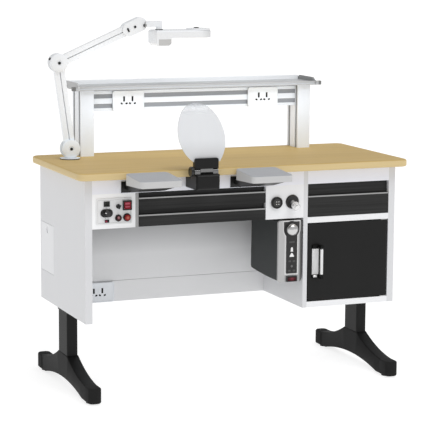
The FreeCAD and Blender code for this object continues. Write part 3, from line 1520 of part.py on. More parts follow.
def make_drive_unit():
    """Handpiece drive unit hung beside the knees: case, bezel with face, dial and switches."""
    left, right = "unit_left", "(unit_left + unit_width)"
    back = f"({FRONT} + unit_length)"
    bezel_back = f"({UNIT_FRONT} + unit_bezel_thick)"
    body_low = "(unit_low + unit_shoulder)"
    body_high = "(unit_high - unit_shoulder)"
    profile = [
        (bezel_back, body_low, "unit_belly"),
        (back, f"{body_low} + unit_rear_drop"),
        (f"{back} - unit_rear_drop / 2", body_high),
        (bezel_back, body_high),
    ]
    case = prism("unit_case", "x", profile, f"{left} + unit_shoulder", f"{right} - unit_shoulder")
    middle = number(f"({bezel_back} + {back}) / 2")
    rounded(case, "unit_corner", lambda edge: along("x")(edge) and edge.BoundBox.YMin > middle)
    hanger = box(
        "unit_hanger",
        (f"{right} - unit_shoulder - bite", CABINET_LEFT),
        (f"{bezel_back} + hanger_margin", f"{back} - hanger_margin"),
        ("unit_low + hanger_margin", "unit_high - hanger_margin"),
    )
    node(fuse("unit", case, hanger), "motor_case")

    xs = (left, right)
    zs = ("unit_low", "unit_high")
    rim = prism("unit_rim", "y", rectangle(xs, zs), UNIT_FRONT, bezel_back)
    rounded(rim, "unit_bezel_round", along("y"))
    head = "unit_face_head"
    neck = "(dial_z - unit_face_neck)"
    face_low = "(unit_low + unit_face_margin)"
    inset = [
        (f"{UNIT_X} - unit_face_half", face_low),
        (f"{UNIT_X} + unit_face_half", face_low),
        (f"{UNIT_X} + unit_face_half", neck),
        (f"{UNIT_X} + {head}", "dial_z", "unit_face_bow"),
        (f"{UNIT_X} - {head}", "dial_z"),
        (f"{UNIT_X} - unit_face_half", neck),
    ]
    panel = prism("unit_panel", "y", inset, UNIT_FACE, UNIT_FRONT)
    well_radius = "unit_button_radius + button_fit"
    well_at = (UNIT_X, UNIT_FACE, "unit_button_z")
    deep = "unit_button_travel + unit_button_sunk + button_fit"
    wells = [cylinder(f"key_well_{i}", "y", well_at, well_radius, deep) for i in (0, 1)]
    switch_at = (UNIT_X, "unit_rocker_z")
    switch_size = ("unit_rocker_width", "unit_rocker_height")
    front_pieces = [
        cut("unit_rim_open", rim, wells[0]),
        cut("unit_panel_open", panel, wells[1]),
        rocker_frame("unit_switch", switch_at, UNIT_FRONT, *switch_size),
    ]
    node(group("unit_front", front_pieces), "motor_bezel")

    dial_at = (UNIT_X, "dial_z")
    node(dial("unit_dial", dial_at, UNIT_FACE, "dial_radius", "dial_length"), "motor_dial")
    key = [
        ("0", "-unit_button_sunk"),
        ("unit_button_radius", "-unit_button_sunk"),
        ("unit_button_radius", "unit_button_travel"),
        ("unit_button_radius - unit_button_edge", "unit_button_travel + unit_button_edge"),
        ("0", "unit_button_travel + unit_button_edge"),
    ]
    node(turned("unit_key", key, "-y", well_at), "motor_button")
    node(rocker("unit_paddle", switch_at, UNIT_FRONT, *switch_size), "motor_rocker")


def check_and_write():
    """Recompute, check every object and write each piece."""
    doc.recompute()
    bad = [o.Name for o in doc.Objects if {"Invalid", "Error"} & set(o.State)]
    for piece in nodes:
        shape = piece.Shape
        if shape.isNull() or not shape.isValid() or not shape.Solids or shape.Volume <= 0:
            bad.append(piece.Label)
    if bad:
        raise RuntimeError("failed: " + ", ".join(bad))
    os.makedirs("parts", exist_ok=True)
    for piece in nodes:
        piece.Shape.exportStep(f"parts/{piece.Label}.step")
        print(piece.Label, len(piece.Shape.Solids), round(piece.Shape.Volume / 1000))


make_top()
make_carcass()
make_armrests()
make_drawers()
make_door()
make_legs()
make_over_shelf()
make_outlets()
make_lamp()
make_suction()
make_control_box()
make_service_panel()
make_drive_unit()
check_and_write()
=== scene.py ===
"""Looks of a technician's workbench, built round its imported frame.

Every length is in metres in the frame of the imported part: +X to the seated worker's right,
+Y to the back, +Z up, the floor at zero. A finish is a frozen dataclass, and each
sub-assembly is a class whose fields are its sizes. Places come from the boxes of the CAD
nodes where a node gives them.
"""

import logging
import math
from dataclasses import dataclass, replace
from enum import Enum
from typing import Callable, Optional, Sequence

import bmesh
import bpy
from mathutils import Matrix, Vector


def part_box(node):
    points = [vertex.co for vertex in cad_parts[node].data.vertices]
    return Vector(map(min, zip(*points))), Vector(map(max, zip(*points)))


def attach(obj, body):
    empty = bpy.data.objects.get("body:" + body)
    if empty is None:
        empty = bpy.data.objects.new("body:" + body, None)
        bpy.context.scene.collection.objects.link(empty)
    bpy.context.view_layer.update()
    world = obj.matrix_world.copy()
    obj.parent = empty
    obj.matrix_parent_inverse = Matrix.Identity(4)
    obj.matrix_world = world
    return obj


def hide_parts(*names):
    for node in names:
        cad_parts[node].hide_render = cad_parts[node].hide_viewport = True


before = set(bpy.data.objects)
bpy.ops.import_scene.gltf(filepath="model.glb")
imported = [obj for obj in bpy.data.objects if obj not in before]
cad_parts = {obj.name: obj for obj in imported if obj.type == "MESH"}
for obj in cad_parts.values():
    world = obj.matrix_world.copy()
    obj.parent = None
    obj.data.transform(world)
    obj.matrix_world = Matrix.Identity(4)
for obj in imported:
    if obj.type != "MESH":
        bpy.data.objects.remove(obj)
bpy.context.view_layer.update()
LOG = logging.getLogger("workbench")

Colour = tuple[float, float, float]
Point = Sequence[float]
Span = tuple[float, float]
FaceTest = Callable[[Vector, Vector], bool]
Socket = bpy.types.NodeSocket

EVEN = (1.0, 1.0, 1.0)
UNIT = (0.0, 1.0)
ORIGIN = (0.0, 0.0, 0.0)
# Least cosines by which a face looks a way and an edge runs along one.
FACING = 0.9
PARALLEL = 0.99
# Corners that are nearer than this are one corner.
MERGE = 1e-6
# A corner that is this near to the end of a piece lies at it.
NEAR = 1e-5
# Edges sharper than this angle in degrees are bevelled.
SHARP = 30.0
# Neighbouring faces up to this angle in degrees are shaded as one surface.
SMOOTH = 32.0
# How much paler than its tone the clouds in a black finish are.
BLACK_CLOUDS = 0.003
# The first input, the second input and the output of a Mix node, by its data type.
MIX_SOCKETS = {"FLOAT": (2, 3, 0), "RGBA": (6, 7, 2)}


class Axis(Enum):
    """One of the three axes of the frame."""

    X = 0
    Y = 1
    Z = 2


class Way(Enum):
    """A direction on the bench, as the seated worker sees it."""

    LEFT = (-1.0, 0.0, 0.0)
    RIGHT = (1.0, 0.0, 0.0)
    FORWARD = (0.0, -1.0, 0.0)
    BACK = (0.0, 1.0, 0.0)
    DOWN = (0.0, 0.0, -1.0)
    UP = (0.0, 0.0, 1.0)

    @property
    def vector(self) -> Vector:
        """The direction as a unit vector."""
        return Vector(self.value)

    @property
    def turn(self) -> Matrix:
        """The turn that makes a piece which looks up look this way."""
        return Way.UP.vector.rotation_difference(self.vector).to_matrix().to_4x4()

    @property
    def faces(self) -> FaceTest:
        """A test for the faces that look this way."""
        return lambda centre, normal: normal.dot(self.vector) > FACING


class Keep(Enum):
    """What stays of a piece that a tool cuts."""

    OUTSIDE = "DIFFERENCE"
    INSIDE = "INTERSECT"


@dataclass(frozen=True)
class Box:
    """The box of a CAD node at rest."""

    low: Vector
    high: Vector

    @classmethod
    def of(cls, node: str) -> "Box":
        """Measure a node."""
        return cls(*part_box(node))

    @property
    def middle(self) -> Vector:
        """The middle of the box."""
        return (self.low + self.high) / 2

    @property
    def half(self) -> Vector:
        """Half the size of the box."""
        return (self.high - self.low) / 2


class Graph:
    """Node tree of one material, with short ways to add and join nodes."""

    def __init__(self, name: str) -> None:
        """Start a material of that name round a Principled shader."""
        self.material = bpy.data.materials.new(name)
        self.material.use_nodes = True
        self.tree = self.material.node_tree
        self.shader = self.tree.nodes["Principled BSDF"]
        self.coords = self.node("ShaderNodeTexCoord").outputs["Object"]
        axes = self.node("ShaderNodeSeparateXYZ")
        self.feed(axes.inputs[0], self.coords)
        self.axes = dict(zip(Axis, axes.outputs))

    def node(self, kind: str, **options: object) -> bpy.types.Node:
        """Add a node and set its options."""
        made = self.tree.nodes.new(kind)
        for key, value in options.items():
            setattr(made, key, value)
        return made

    def feed(self, socket: Socket, value: object) -> None:
        """Join an output to a socket, or set the socket's own value."""
        if isinstance(value, Socket):
            self.tree.links.new(value, socket)
        elif socket.type == "RGBA":
            socket.default_value = (*value, 1.0)
        else:
            socket.default_value = value

    def set(self, socket: str, value: object) -> None:
        """Feed one of the shader's sockets by its name."""
        self.feed(self.shader.inputs[socket], value)

    def math(self, operation: str, *values: object) -> Socket:
        """Add a Math node.

        Args:
            operation: The node's operation.
            values: Numbers or outputs for its inputs, in order.

        Returns:
            The node's output.
        """
        made = self.node("ShaderNodeMath", operation=operation)
        for socket, value in zip(made.inputs, values):
            self.feed(socket, value)
        return made.outputs[0]

    def noise(self, scale: float, detail: float = 2.0, stretch: Colour = EVEN) -> Socket:
        """Add a noise on the object's own coordinates.

        Args:
            scale: Spots per metre.
            detail: Octaves of finer noise.
            stretch: Factors along the three axes.

        Returns:
            The noise value.
        """
        mapping = self.node("ShaderNodeMapping")
        self.feed(mapping.inputs["Vector"], self.coords)
        self.feed(mapping.inputs["Scale"], stretch)
        noise = self.node("ShaderNodeTexNoise")
        self.feed(noise.inputs["Vector"], mapping.outputs[0])
        self.feed(noise.inputs["Scale"], scale)
        self.feed(noise.inputs["Detail"], detail)
        return noise.outputs[0]

    def span(self, value: Socket, target: Span, source: Span = (0.3, 0.7)) -> Socket:
        """Map a value from one span to another.

        Args:
            value: The value to map.
            target: What the ends of the source span become.
            source: The span that is mapped, by default the usual reach of a noise.

        Returns:
            The mapped value.
        """
        made = self.node("ShaderNodeMapRange")
        self.feed(made.inputs["Value"], value)
        for name, number in zip(("From Min", "From Max", "To Min", "To Max"), (*source, *target)):
            self.feed(made.inputs[name], number)
        return made.outputs[0]

    def mix(self, share: Socket, first: object, second: object) -> Socket:
        """Mix two colours or two numbers by a share.

        Args:
            share: 0 for the first, 1 for the second.
            first: A colour, a number or an output.
            second: A colour, a number or an output, and one of the two is no output.

        Returns:
            The mixed colour or number.
        """
        kind = "RGBA" if isinstance(first, tuple) or isinstance(second, tuple) else "FLOAT"
        made = self.node("ShaderNodeMix", data_type=kind)
        one, two, result = MIX_SOCKETS[kind]
        self.feed(made.inputs[0], share)
        self.feed(made.inputs[one], first)
        self.feed(made.inputs[two], second)
        return made.outputs[result]

    def bump(self, height: Socket, strength: float, distance: float) -> None:
        """Give the shader relief from a height."""
        made = self.node("ShaderNodeBump")
        self.feed(made.inputs["Strength"], strength)
        self.feed(made.inputs["Distance"], distance)
        self.feed(made.inputs["Height"], height)
        self.set("Normal", made.outputs[0])


class Place:
    """A part of a surface, told by the object's own coordinates."""

    def mask(self, graph: Graph) -> Socket:
        """A value that is 1 in the place and 0 outside it."""
        raise NotImplementedError


@dataclass(frozen=True)
class Window(Place):
    """A box on an object, open along each axis that is left out."""

    x: Optional[Span] = None
    y: Optional[Span] = None
    z: Optional[Span] = None

    def mask(self, graph: Graph) -> Socket:
        """A value that is 1 inside the box and 0 outside it."""
        share = None
        for axis, bounds in zip(Axis, (self.x, self.y, self.z)):
            if bounds is None:
                continue
            low, high = bounds
            inside = graph.math("COMPARE", graph.axes[axis], (low + high) / 2, (high - low) / 2)
            share = inside if share is None else graph.math("MULTIPLY", share, inside)
        return share


@dataclass(frozen=True)
class Slope(Place):
    """The part of an object above a plane that tilts along Y."""

    level: float
    rise: float

    def mask(self, graph: Graph) -> Socket:
        """A value that is 1 above the plane and 0 below it."""
        climb = graph.math("MULTIPLY", graph.axes[Axis.Y], -self.rise)
        return graph.math("GREATER_THAN", graph.math("ADD", graph.axes[Axis.Z], climb), self.level)


@dataclass(frozen=True)
class Disc(Place):
    """A round area as seen from the front."""

    x: float
    z: float
    radius: float

    def mask(self, graph: Graph) -> Socket:
        """A value that is 1 inside the round and 0 outside it."""
        across = graph.math("SUBTRACT", graph.axes[Axis.X], self.x)
        up = graph.math("SUBTRACT", graph.axes[Axis.Z], self.z)
        square = graph.math("MULTIPLY_ADD", across, across, graph.math("MULTIPLY", up, up))
        return graph.math("LESS_THAN", square, self.radius ** 2)


@dataclass(frozen=True)
class Fade(Place):
    """A soft change along one axis, such as the shade under an overhang."""

    axis: Axis
    reach: Span

    def mask(self, graph: Graph) -> Socket:
        """A value that climbs from 0 to 1 along the reach."""
        return graph.span(graph.axes[self.axis], UNIT, self.reach)


@dataclass(frozen=True)
class Inlay:
    """A part of a surface in a colour and gloss of its own."""

    places: tuple[Place, ...]
    colour: Colour
    roughness: float = 0.4
    metallic: float = 0.0

    def mask(self, graph: Graph) -> Socket:
        """A value that is 1 in any of the inlay's places."""
        share = self.places[0].mask(graph)
        for place in self.places[1:]:
            share = graph.math("MAXIMUM", share, place.mask(graph))
        return share


@dataclass(frozen=True)
class Finish:
    """A named surface whose material is made once."""

    name: str

    def material(self) -> bpy.types.Material:
        """The finish's material, painted at its first use."""
        return bpy.data.materials.get(self.name) or self.paint()

    def paint(self) -> bpy.types.Material:
        """Make the material's node tree."""
        raise NotImplementedError


@dataclass(frozen=True)
class Coat(Finish):
    """Paint, powder coat, moulding or metal with a fine texture and inlays."""

    colour: Colour
    shade: Colour
    roughness: Span = (0.34, 0.42)
    grain: float = 1200.0
    stretch: Colour = EVEN
    relief: float = 0.06
    height: float = 0.0003
    cloud: float = 9.0
    cloud_detail: float = 3.0
    cloud_stretch: Colour = EVEN
    gloss: float = 0.4
    coat: float = 0.0
    coat_roughness: float = 0.12
    metallic: float = 0.0
    glow: float = 0.0
    inlays: tuple[Inlay, ...] = ()

    def paint(self) -> bpy.types.Material:
        """Make the material's node tree."""
        graph = Graph(self.name)
        fine = graph.noise(self.grain, stretch=self.stretch)
        cloud = graph.noise(self.cloud, self.cloud_detail, self.cloud_stretch)
        colour = graph.mix(cloud, self.colour, self.shade)
        roughness = graph.span(fine, self.roughness)
        metallic: object = self.metallic
        for inlay in self.inlays:
            mask = inlay.mask(graph)
            colour = graph.mix(mask, colour, inlay.colour)
            roughness = graph.mix(mask, roughness, inlay.roughness)
            if inlay.metallic != self.metallic:
                metallic = graph.mix(mask, metallic, inlay.metallic)
        graph.set("Base Color", colour)
        graph.set("Roughness", roughness)
        graph.set("Metallic", metallic)
        graph.set("Specular IOR Level", self.gloss)
        graph.set("Coat Weight", self.coat)
        graph.set("Coat Roughness", self.coat_roughness)
        graph.set("Emission Color", self.colour)
        graph.set("Emission Strength", self.glow)
        graph.bump(fine, self.relief, self.height)
        return graph.material


@dataclass(frozen=True)
class Laminate(Finish):
    """Pressed laminate with a quiet wood figure along the bench and a paler edge."""

    light: Colour
    dark: Colour
    edge: Colour
    edge_z: Span
    edge_share: float = 0.6
    figure: float = 7.0
    figure_detail: float = 5.0
    figure_stretch: Colour = (0.35, 9.0, 9.0)
    fibre: float = 160.0
    fibre_detail: float = 3.0
    fibre_stretch: Colour = (0.04, 1.0, 1.0)
    fibre_share: float = 0.45
    contrast: Span = (0.32, 0.68)
    roughness: Span = (0.46, 0.58)
    gloss: float = 0.22
    relief: float = 0.05
    height: float = 0.0004

    def paint(self) -> bpy.types.Material:
        """Make the material's node tree."""
        graph = Graph(self.name)
        figure = graph.noise(self.figure, self.figure_detail, self.figure_stretch)
        fibre = graph.noise(self.fibre, self.fibre_detail, self.fibre_stretch)
        rest = graph.math("MULTIPLY", figure, 1.0 - self.fibre_share)
        streaks = graph.math("MULTIPLY_ADD", fibre, self.fibre_share, rest)
        colour = graph.mix(graph.span(streaks, UNIT, self.contrast), self.dark, self.light)
        rim = graph.math("MULTIPLY", Window(z=self.edge_z).mask(graph), self.edge_share)
        graph.set("Base Color", graph.mix(rim, colour, self.edge))
        graph.set("Roughness", graph.span(fibre, self.roughness))
        graph.set("Specular IOR Level", self.gloss)
        graph.bump(fibre, self.relief, self.height)
        return graph.material


@dataclass(frozen=True)
class Clear(Finish):
    """Milky plastic sheet with faint wipe marks, painted darker towards its foot as painted shade, clearer
    above a level.
    """

    colour: Colour
    passing: float
    roughness: Span
    glow: float = 0.0
    clearer: float = 0.0
    level: Span = UNIT
    foot_shade: float = 1.0
    foot: Span = UNIT
    wipe: float = 40.0
    wipe_detail: float = 4.0
    wipe_stretch: Colour = (1.0, 1.0, 0.2)
    wipe_tone: float = 0.97
    ior: float = 1.49

    def paint(self) -> bpy.types.Material:
        """Make the material's node tree."""
        graph = Graph(self.name)
        height = graph.axes[Axis.Z]
        wipes = graph.noise(self.wipe, self.wipe_detail, self.wipe_stretch)
        colour = graph.mix(wipes, self.colour, self._toned(self.wipe_tone))
        # Painted shade towards the sheet's foot.
        if self.foot_shade < 1.0:
            colour = graph.mix(graph.span(height, UNIT, self.foot), self._toned(self.foot_shade), colour)
        passing: object = self.passing
        if self.clearer:
            passing = graph.span(height, (self.passing, self.clearer), self.level)
        graph.set("Base Color", colour)
        graph.set("Roughness", graph.span(wipes, self.roughness))
        graph.set("Transmission Weight", passing)
        graph.set("IOR", self.ior)
        graph.set("Emission Color", self.colour)
        graph.set("Emission Strength", self.glow)
        return graph.material

    def _toned(self, factor: float) -> Colour:
        """The sheet's colour, darkened by a factor."""
        return tuple(factor * part for part in self.colour)


@dataclass(frozen=True)
class Lens(Finish):
    """Coloured switch cap with a paler core and marks."""

    colour: Colour
    core: Colour
    middle: Point
    reach: float
    inlays: tuple[Inlay, ...] = ()
    grain: float = 700.0
    roughness: Span = (0.16, 0.24)
    gloss: float = 0.25
    relief: float = 0.03
    height: float = 0.0002

    def paint(self) -> bpy.types.Material:
        """Make the material's node tree."""
        graph = Graph(self.name)
        shift = graph.node("ShaderNodeVectorMath", operation="DISTANCE")
        graph.feed(shift.inputs[0], graph.coords)
        graph.feed(shift.inputs[1], self.middle)
        heat = graph.span(shift.outputs["Value"], (1.0, 0.0), (0.0, self.reach))
        fine = graph.noise(self.grain)
        colour = graph.mix(heat, self.colour, self.core)
        for inlay in self.inlays:
            colour = graph.mix(inlay.mask(graph), colour, inlay.colour)
        graph.set("Base Color", colour)
        graph.set("Roughness", graph.span(fine, self.roughness))
        graph.set("Specular IOR Level", self.gloss)
        graph.bump(fine, self.relief, self.height)
        return graph.material


def grey(value: float) -> Colour:
    """A neutral colour of one linear value."""
    return (value, value, value)


def black(name: str, tone: float, roughness: Span, grain: float, gloss: float, **options: object) -> Coat:
    """A black or dark grey coat, a little paler in its clouds.

    Args:
        name: The finish's name.
        tone: Its linear value.
        roughness: The span of its roughness.
        grain: Spots per metre of its fine texture.
        gloss: Its specular level.
        options: Other fields of the coat.

    Returns:
        The coat.
    """
    paler = tone + BLACK_CLOUDS
    return Coat(name, grey(tone), grey(paler), roughness, grain, gloss=gloss, **options)


# Painted shade: the knee boards darken towards the top, under the drawers.
SHADE_UNDER_DRAWERS = Inlay((Fade(Axis.Z, (0.43, 0.525)),), (0.51, 0.515, 0.525))
# Painted light: the lamp's enamel turns paler and cooler low down, near the tabletop.
LIGHT_NEAR_TABLETOP = Inlay((Fade(Axis.Z, (1.02, 0.80)),), (0.90, 0.95, 1.0), roughness=0.28)

BEIGE_TOP = Laminate("beige_laminate", (0.62, 0.445, 0.175), (0.53, 0.365, 0.132), (0.76, 0.62, 0.36),
                     edge_z=(0.7453, 0.7672))
# A coat starts with its name, its colour, the colour of its clouds, its span of roughness and its grain.
WHITE_BOARD = Coat("white_lacquered_board", (0.725, 0.73, 0.745), (0.705, 0.71, 0.73))
# Painted light: the knee, apron and front boards are paler copies of the white board, the apron's also
# cooler, where the bench shades them.
LIT_KNEE_BOARD = Coat("white_knee_board_lit", (0.84, 0.845, 0.855), (0.82, 0.825, 0.84), inlays=(SHADE_UNDER_DRAWERS,))
LIT_APRON_BOARD = Coat("white_apron_board_lit", (0.88, 0.895, 0.965), (0.86, 0.875, 0.945))
LIT_FRONT_BOARD = Coat("white_front_board_lit", (0.885, 0.89, 0.905), (0.865, 0.87, 0.89))
HATCH_BOARD = Coat("white_hatch_board", (0.83, 0.835, 0.85), (0.81, 0.815, 0.835))
GREY_BOARD = Coat("grey_case_board", grey(0.40), grey(0.36))
WHITE_CASE = Coat("white_moulded_case", (0.965, 0.97, 0.98), (0.945, 0.95, 0.96), (0.28, 0.36), 900.0)
BLACK_STEEL = black("black_powder_coat", 0.008, (0.45, 0.58), 1500.0, gloss=0.18, relief=0.12)
BLACK_CASTING = black("black_foot_casting", 0.006, (0.48, 0.60), 900.0, gloss=0.09, relief=0.15)
BLACK_DOOR = black("black_door_front", 0.008, (0.36, 0.46), 1200.0, gloss=0.2)
BLACK_PLASTIC = black("black_moulded_plastic", 0.010, (0.20, 0.30), 800.0, gloss=0.3)
GLOSS_BLACK = black("black_gloss_plastic", 0.008, (0.08, 0.14), 500.0, gloss=0.5)
DEEP_BLACK = Coat("deep_black_plastic", grey(0.004), grey(0.006), (0.35, 0.45), 800.0, gloss=0.15)
DARK_PLASTIC = Coat("dark_satin_plastic", grey(0.016), grey(0.021), (0.34, 0.46), 900.0, gloss=0.25)
DARK_CASE = Coat("dark_unit_case", (0.019, 0.023, 0.023), (0.024, 0.028, 0.028), (0.36, 0.48), 1400.0,
                 gloss=0.25)
RUBBER = Coat("glide_rubber", grey(0.012), grey(0.018), (0.70, 0.85), 900.0, relief=0.15, gloss=0.15)
STEEL = Coat("zinc_plated_steel", grey(0.52), grey(0.46), (0.30, 0.42), 600.0,
             stretch=(0.1, 4.0, 4.0), metallic=1.0)
CHROME = Coat("polished_chrome", grey(0.82), grey(0.76), (0.06, 0.12), 300.0, metallic=1.0)
SATIN_CHROME = Coat("satin_coupler_chrome", grey(0.80), grey(0.74), (0.24, 0.32), 400.0, metallic=0.7)
BALL_CHROME = Coat("satin_ball_chrome", grey(0.66), grey(0.60), (0.22, 0.28), 300.0, metallic=1.0)
BRIGHT_SILVER = Coat("bright_handle_silver", grey(0.84), grey(0.78), (0.30, 0.40), 500.0,
                     stretch=(4.0, 4.0, 0.08), metallic=0.6)
LAMP_WHITE = Coat("lamp_white_enamel", (0.89, 0.905, 0.925), (0.87, 0.885, 0.905), (0.24, 0.32), 500.0,
                  inlays=(LIGHT_NEAR_TABLETOP,))
WHITE_PLATE = Coat("white_outlet_plate", (0.86, 0.89, 0.93), (0.84, 0.87, 0.91), (0.20, 0.28), 700.0)
SHELF_PLATE = Coat("grey_shelf_plate", (0.50, 0.51, 0.52), (0.475, 0.485, 0.495), (0.30, 0.40), 600.0)
SOCKET_GREY = Coat("grey_socket_insert", grey(0.045), grey(0.030), (0.30, 0.45), 260.0, relief=0.3,
                   height=0.001)
SHADOW = Coat("dark_socket_inside", grey(0.010), grey(0.014), (0.6, 0.8), 500.0, gloss=0.1)
# Painted shade: the pane darkens towards its foot.
PANE = Clear("milky_shield_pane", (0.90, 0.915, 0.94), passing=0.18, roughness=(0.06, 0.12),
             clearer=0.80, level=(0.955, 0.972), foot_shade=0.80, foot=(0.80, 0.87))
DIFFUSER = Clear("lamp_diffuser_sheet", grey(0.92), passing=0.15, roughness=(0.35, 0.5), glow=0.25)
READOUT = Coat("black_readout_glass", (0.040, 0.046, 0.038), (0.048, 0.054, 0.046), (0.05, 0.1), 300.0,
               coat=0.6)
LIT = Coat("white_lit_sign", grey(0.90), grey(0.86), (0.3, 0.4), 900.0)
FADED = Coat("grey_printed_sign", grey(0.16), grey(0.13), (0.3, 0.4), 900.0)
DIM = Coat("dim_printed_sign", grey(0.075), grey(0.055), (0.3, 0.4), 900.0)


def around(middle: float, half: float) -> Span:
    """The span that reaches half to both sides of a middle."""
    return (middle - half, middle + half)


def moved(span: Span, by: float) -> Span:
    """A span, moved along its axis."""
    return (span[0] + by, span[1] + by)


class Piece:
    """One mesh object, shaped with Blender's modelling operators."""

    def __init__(self, obj: bpy.types.Object) -> None:
        """Hold the object that is being shaped."""
        self.obj = obj

    @staticmethod
    def deselect() -> None:
        """Select nothing, so that the next operator acts on its own piece."""
        bpy.ops.object.select_all(action="DESELECT")

    @staticmethod
    def settle() -> None:
        """Settle the active object's place and turn in its mesh."""
        bpy.ops.object.transform_apply(location=True, rotation=True, scale=True)

    @classmethod
    def _added(cls, name: str) -> "Piece":
        """Name the object that an operator has just added, and settle it."""
        obj = bpy.context.active_object
        obj.name = name
        obj.data.name = name
        cls.settle()
        return cls(obj)

    @classmethod
    def block(cls, name: str, x: Span, y: Span, z: Span) -> "Piece":
        """Add a block.

        Args:
            name: The piece's name.
            x: Its reach along X.
            y: Its reach along Y.
            z: Its reach along Z.

        Returns:
            The piece.
        """
        cls.deselect()
        low, high = (Vector(corner) for corner in zip(x, y, z))
        bpy.ops.mesh.primitive_cube_add(size=1.0, location=(low + high) / 2, scale=high - low)
        return cls._added(name)

    @classmethod
    def turned(cls, name: str, rings: Sequence[Span], base: Point, way: Way, sides: int = 48) -> "Piece":
        """Extrude a disc ring by ring into a turned piece.

        Args:
            name: The piece's name.
            rings: Radius and height of each ring, from the base on.
            base: The middle of the base.
            way: The direction in which the piece grows.
            sides: Corners of a ring.

        Returns:
            The piece.
        """
        cls.deselect()
        radius, height = rings[0]
        start = (0, 0, height)
        bpy.ops.mesh.primitive_circle_add(vertices=sides, radius=radius, fill_type="NGON", location=start)
        cls.settle()
        bpy.ops.object.mode_set(mode="EDIT")
        bpy.ops.mesh.select_mode(type="FACE")
        bpy.ops.mesh.select_all(action="SELECT")
        for wide, high in rings[1:]:
            bpy.ops.mesh.extrude_region_move(TRANSFORM_OT_translate={"value": (0, 0, high - height)})
            factor = wide / radius
            bpy.ops.transform.resize(value=(factor, factor, 1), center_override=(0, 0, high))
            radius, height = wide, high
        bpy.ops.mesh.select_all(action="SELECT")
        bpy.ops.mesh.remove_doubles(threshold=MERGE)
        bpy.ops.mesh.normals_make_consistent(inside=False)
        bpy.ops.object.mode_set(mode="OBJECT")
        obj = bpy.context.active_object
        obj.rotation_mode = "QUATERNION"
        obj.rotation_quaternion = Way.UP.vector.rotation_difference(way.vector)
        obj.location = base
        return cls._added(name)

    @classmethod
    def of_node(cls, name: str, node: str) -> "Piece":
        """Copy a CAD node's mesh into a new piece and merge its loose triangles."""
        obj = bpy.data.objects.new(name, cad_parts[node].data.copy())
        bpy.context.scene.collection.objects.link(obj)
        piece = cls(obj)
        piece.pick(lambda centre, normal: True)
        bpy.ops.mesh.remove_doubles(threshold=MERGE)
        bpy.ops.object.mode_set(mode="OBJECT")
        return piece

    def activate(self) -> None:
        """Select this piece alone."""
        self.deselect()
        self.obj.select_set(True)
        bpy.context.view_layer.objects.active = self.obj

    def edit(self, kind: str) -> bmesh.types.BMesh:
        """Enter edit mode with nothing selected.

        Args:
            kind: What will be selected, FACE or EDGE.

        Returns:
            The mesh that is being edited.
        """
        self.activate()
        bpy.ops.object.mode_set(mode="EDIT")
        bpy.ops.mesh.select_mode(type=kind)
        bpy.ops.mesh.select_all(action="DESELECT")
        return bmesh.from_edit_mesh(self.obj.data)

    def pick(self, test: FaceTest) -> None:
        """Enter edit mode with the faces selected whose middle and normal pass a test."""
        mesh = self.edit("FACE")
        mesh.normal_update()
        for face in mesh.faces:
            face.select_set(test(face.calc_center_median(), face.normal))
        bmesh.update_edit_mesh(self.obj.data)

    def inset(self, way: Way, rim: float, push: Point) -> "Piece":
        """Inset the faces that look one way, and extrude what lies inside the rim.

        Args:
            way: The direction in which the faces look.
            rim: Width of the rim.
            push: How far the inner faces are extruded.

        Returns:
            This piece.
        """
        self.pick(way.faces)
        bpy.ops.mesh.inset(thickness=rim, use_even_offset=True)
        bpy.ops.mesh.extrude_region_move(TRANSFORM_OT_translate={"value": push})
        bpy.ops.object.mode_set(mode="OBJECT")
        return self

    def extrude(self, way: Way, push: Point, taper: Point) -> "Piece":
        """Extrude the faces that look one way, and scale their new ends about their own middle.

        Args:
            way: The direction in which the faces look.
            push: How far they are extruded.
            taper: Factors along the axes for the new ends.

        Returns:
            This piece.
        """
        self.pick(way.faces)
        bpy.ops.mesh.extrude_region_move(TRANSFORM_OT_translate={"value": push})
        mesh = bmesh.from_edit_mesh(self.obj.data)
        ends = [face.calc_center_median() for face in mesh.faces if face.select]
        middle = sum(ends, Vector()) / len(ends)
        bpy.ops.transform.resize(value=taper, center_override=middle)
        bpy.ops.object.mode_set(mode="OBJECT")
        return self

    def round_edges(self, along: Way, width: float, steps: int = 4, end: Optional[Way] = None) -> "Piece":
        """Bevel the edges that run along one direction.

        Args:
            along: The edges' direction, either way.
            width: Width of the bevel.
            steps: Segments of the bevel.
            end: The end of the piece where they lie, or None for all of them.

        Returns:
            This piece.
        """
        reach = max(corner.co.dot(end.vector) for corner in self.obj.data.vertices) if end else 0.0
        mesh = self.edit("EDGE")
        for edge in mesh.edges:
            run = (edge.verts[1].co - edge.verts[0].co).normalized()
            there = end is None or edge.verts[0].co.dot(end.vector) > reach - NEAR
            edge.select_set(there and abs(run.dot(along.vector)) > PARALLEL)
        bmesh.update_edit_mesh(self.obj.data)
        bpy.ops.mesh.bevel(offset=width, segments=steps)
        bpy.ops.object.mode_set(mode="OBJECT")
        return self

    def _modify(self, kind: str, **options: object) -> "Piece":
        """Apply a modifier of one kind with these options."""
        self.activate()
        modifier = self.obj.modifiers.new(kind.lower(), kind)
        for key, value in options.items():
            setattr(modifier, key, value)
        bpy.ops.object.modifier_apply(modifier=modifier.name)
        return self

    def bevel(self, width: float, segments: int = 2) -> "Piece":
        """Bevel every sharp edge by a width in some segments."""
        angle = math.radians(SHARP)
        return self._modify("BEVEL", width=width, segments=segments, limit_method="ANGLE", angle_limit=angle)

    def cut(self, tool: "Piece", keep: Keep = Keep.OUTSIDE) -> "Piece":
        """Cut this piece by another one, which is then removed."""
        self._modify("BOOLEAN", operation=keep.value, solver="EXACT", object=tool.obj)
        tool.remove()
        return self

    def join(self, *others: "Piece") -> "Piece":
        """Join other pieces into this one."""
        self.activate()
        for other in others:
            other.obj.select_set(True)
        bpy.ops.object.join()
        return self

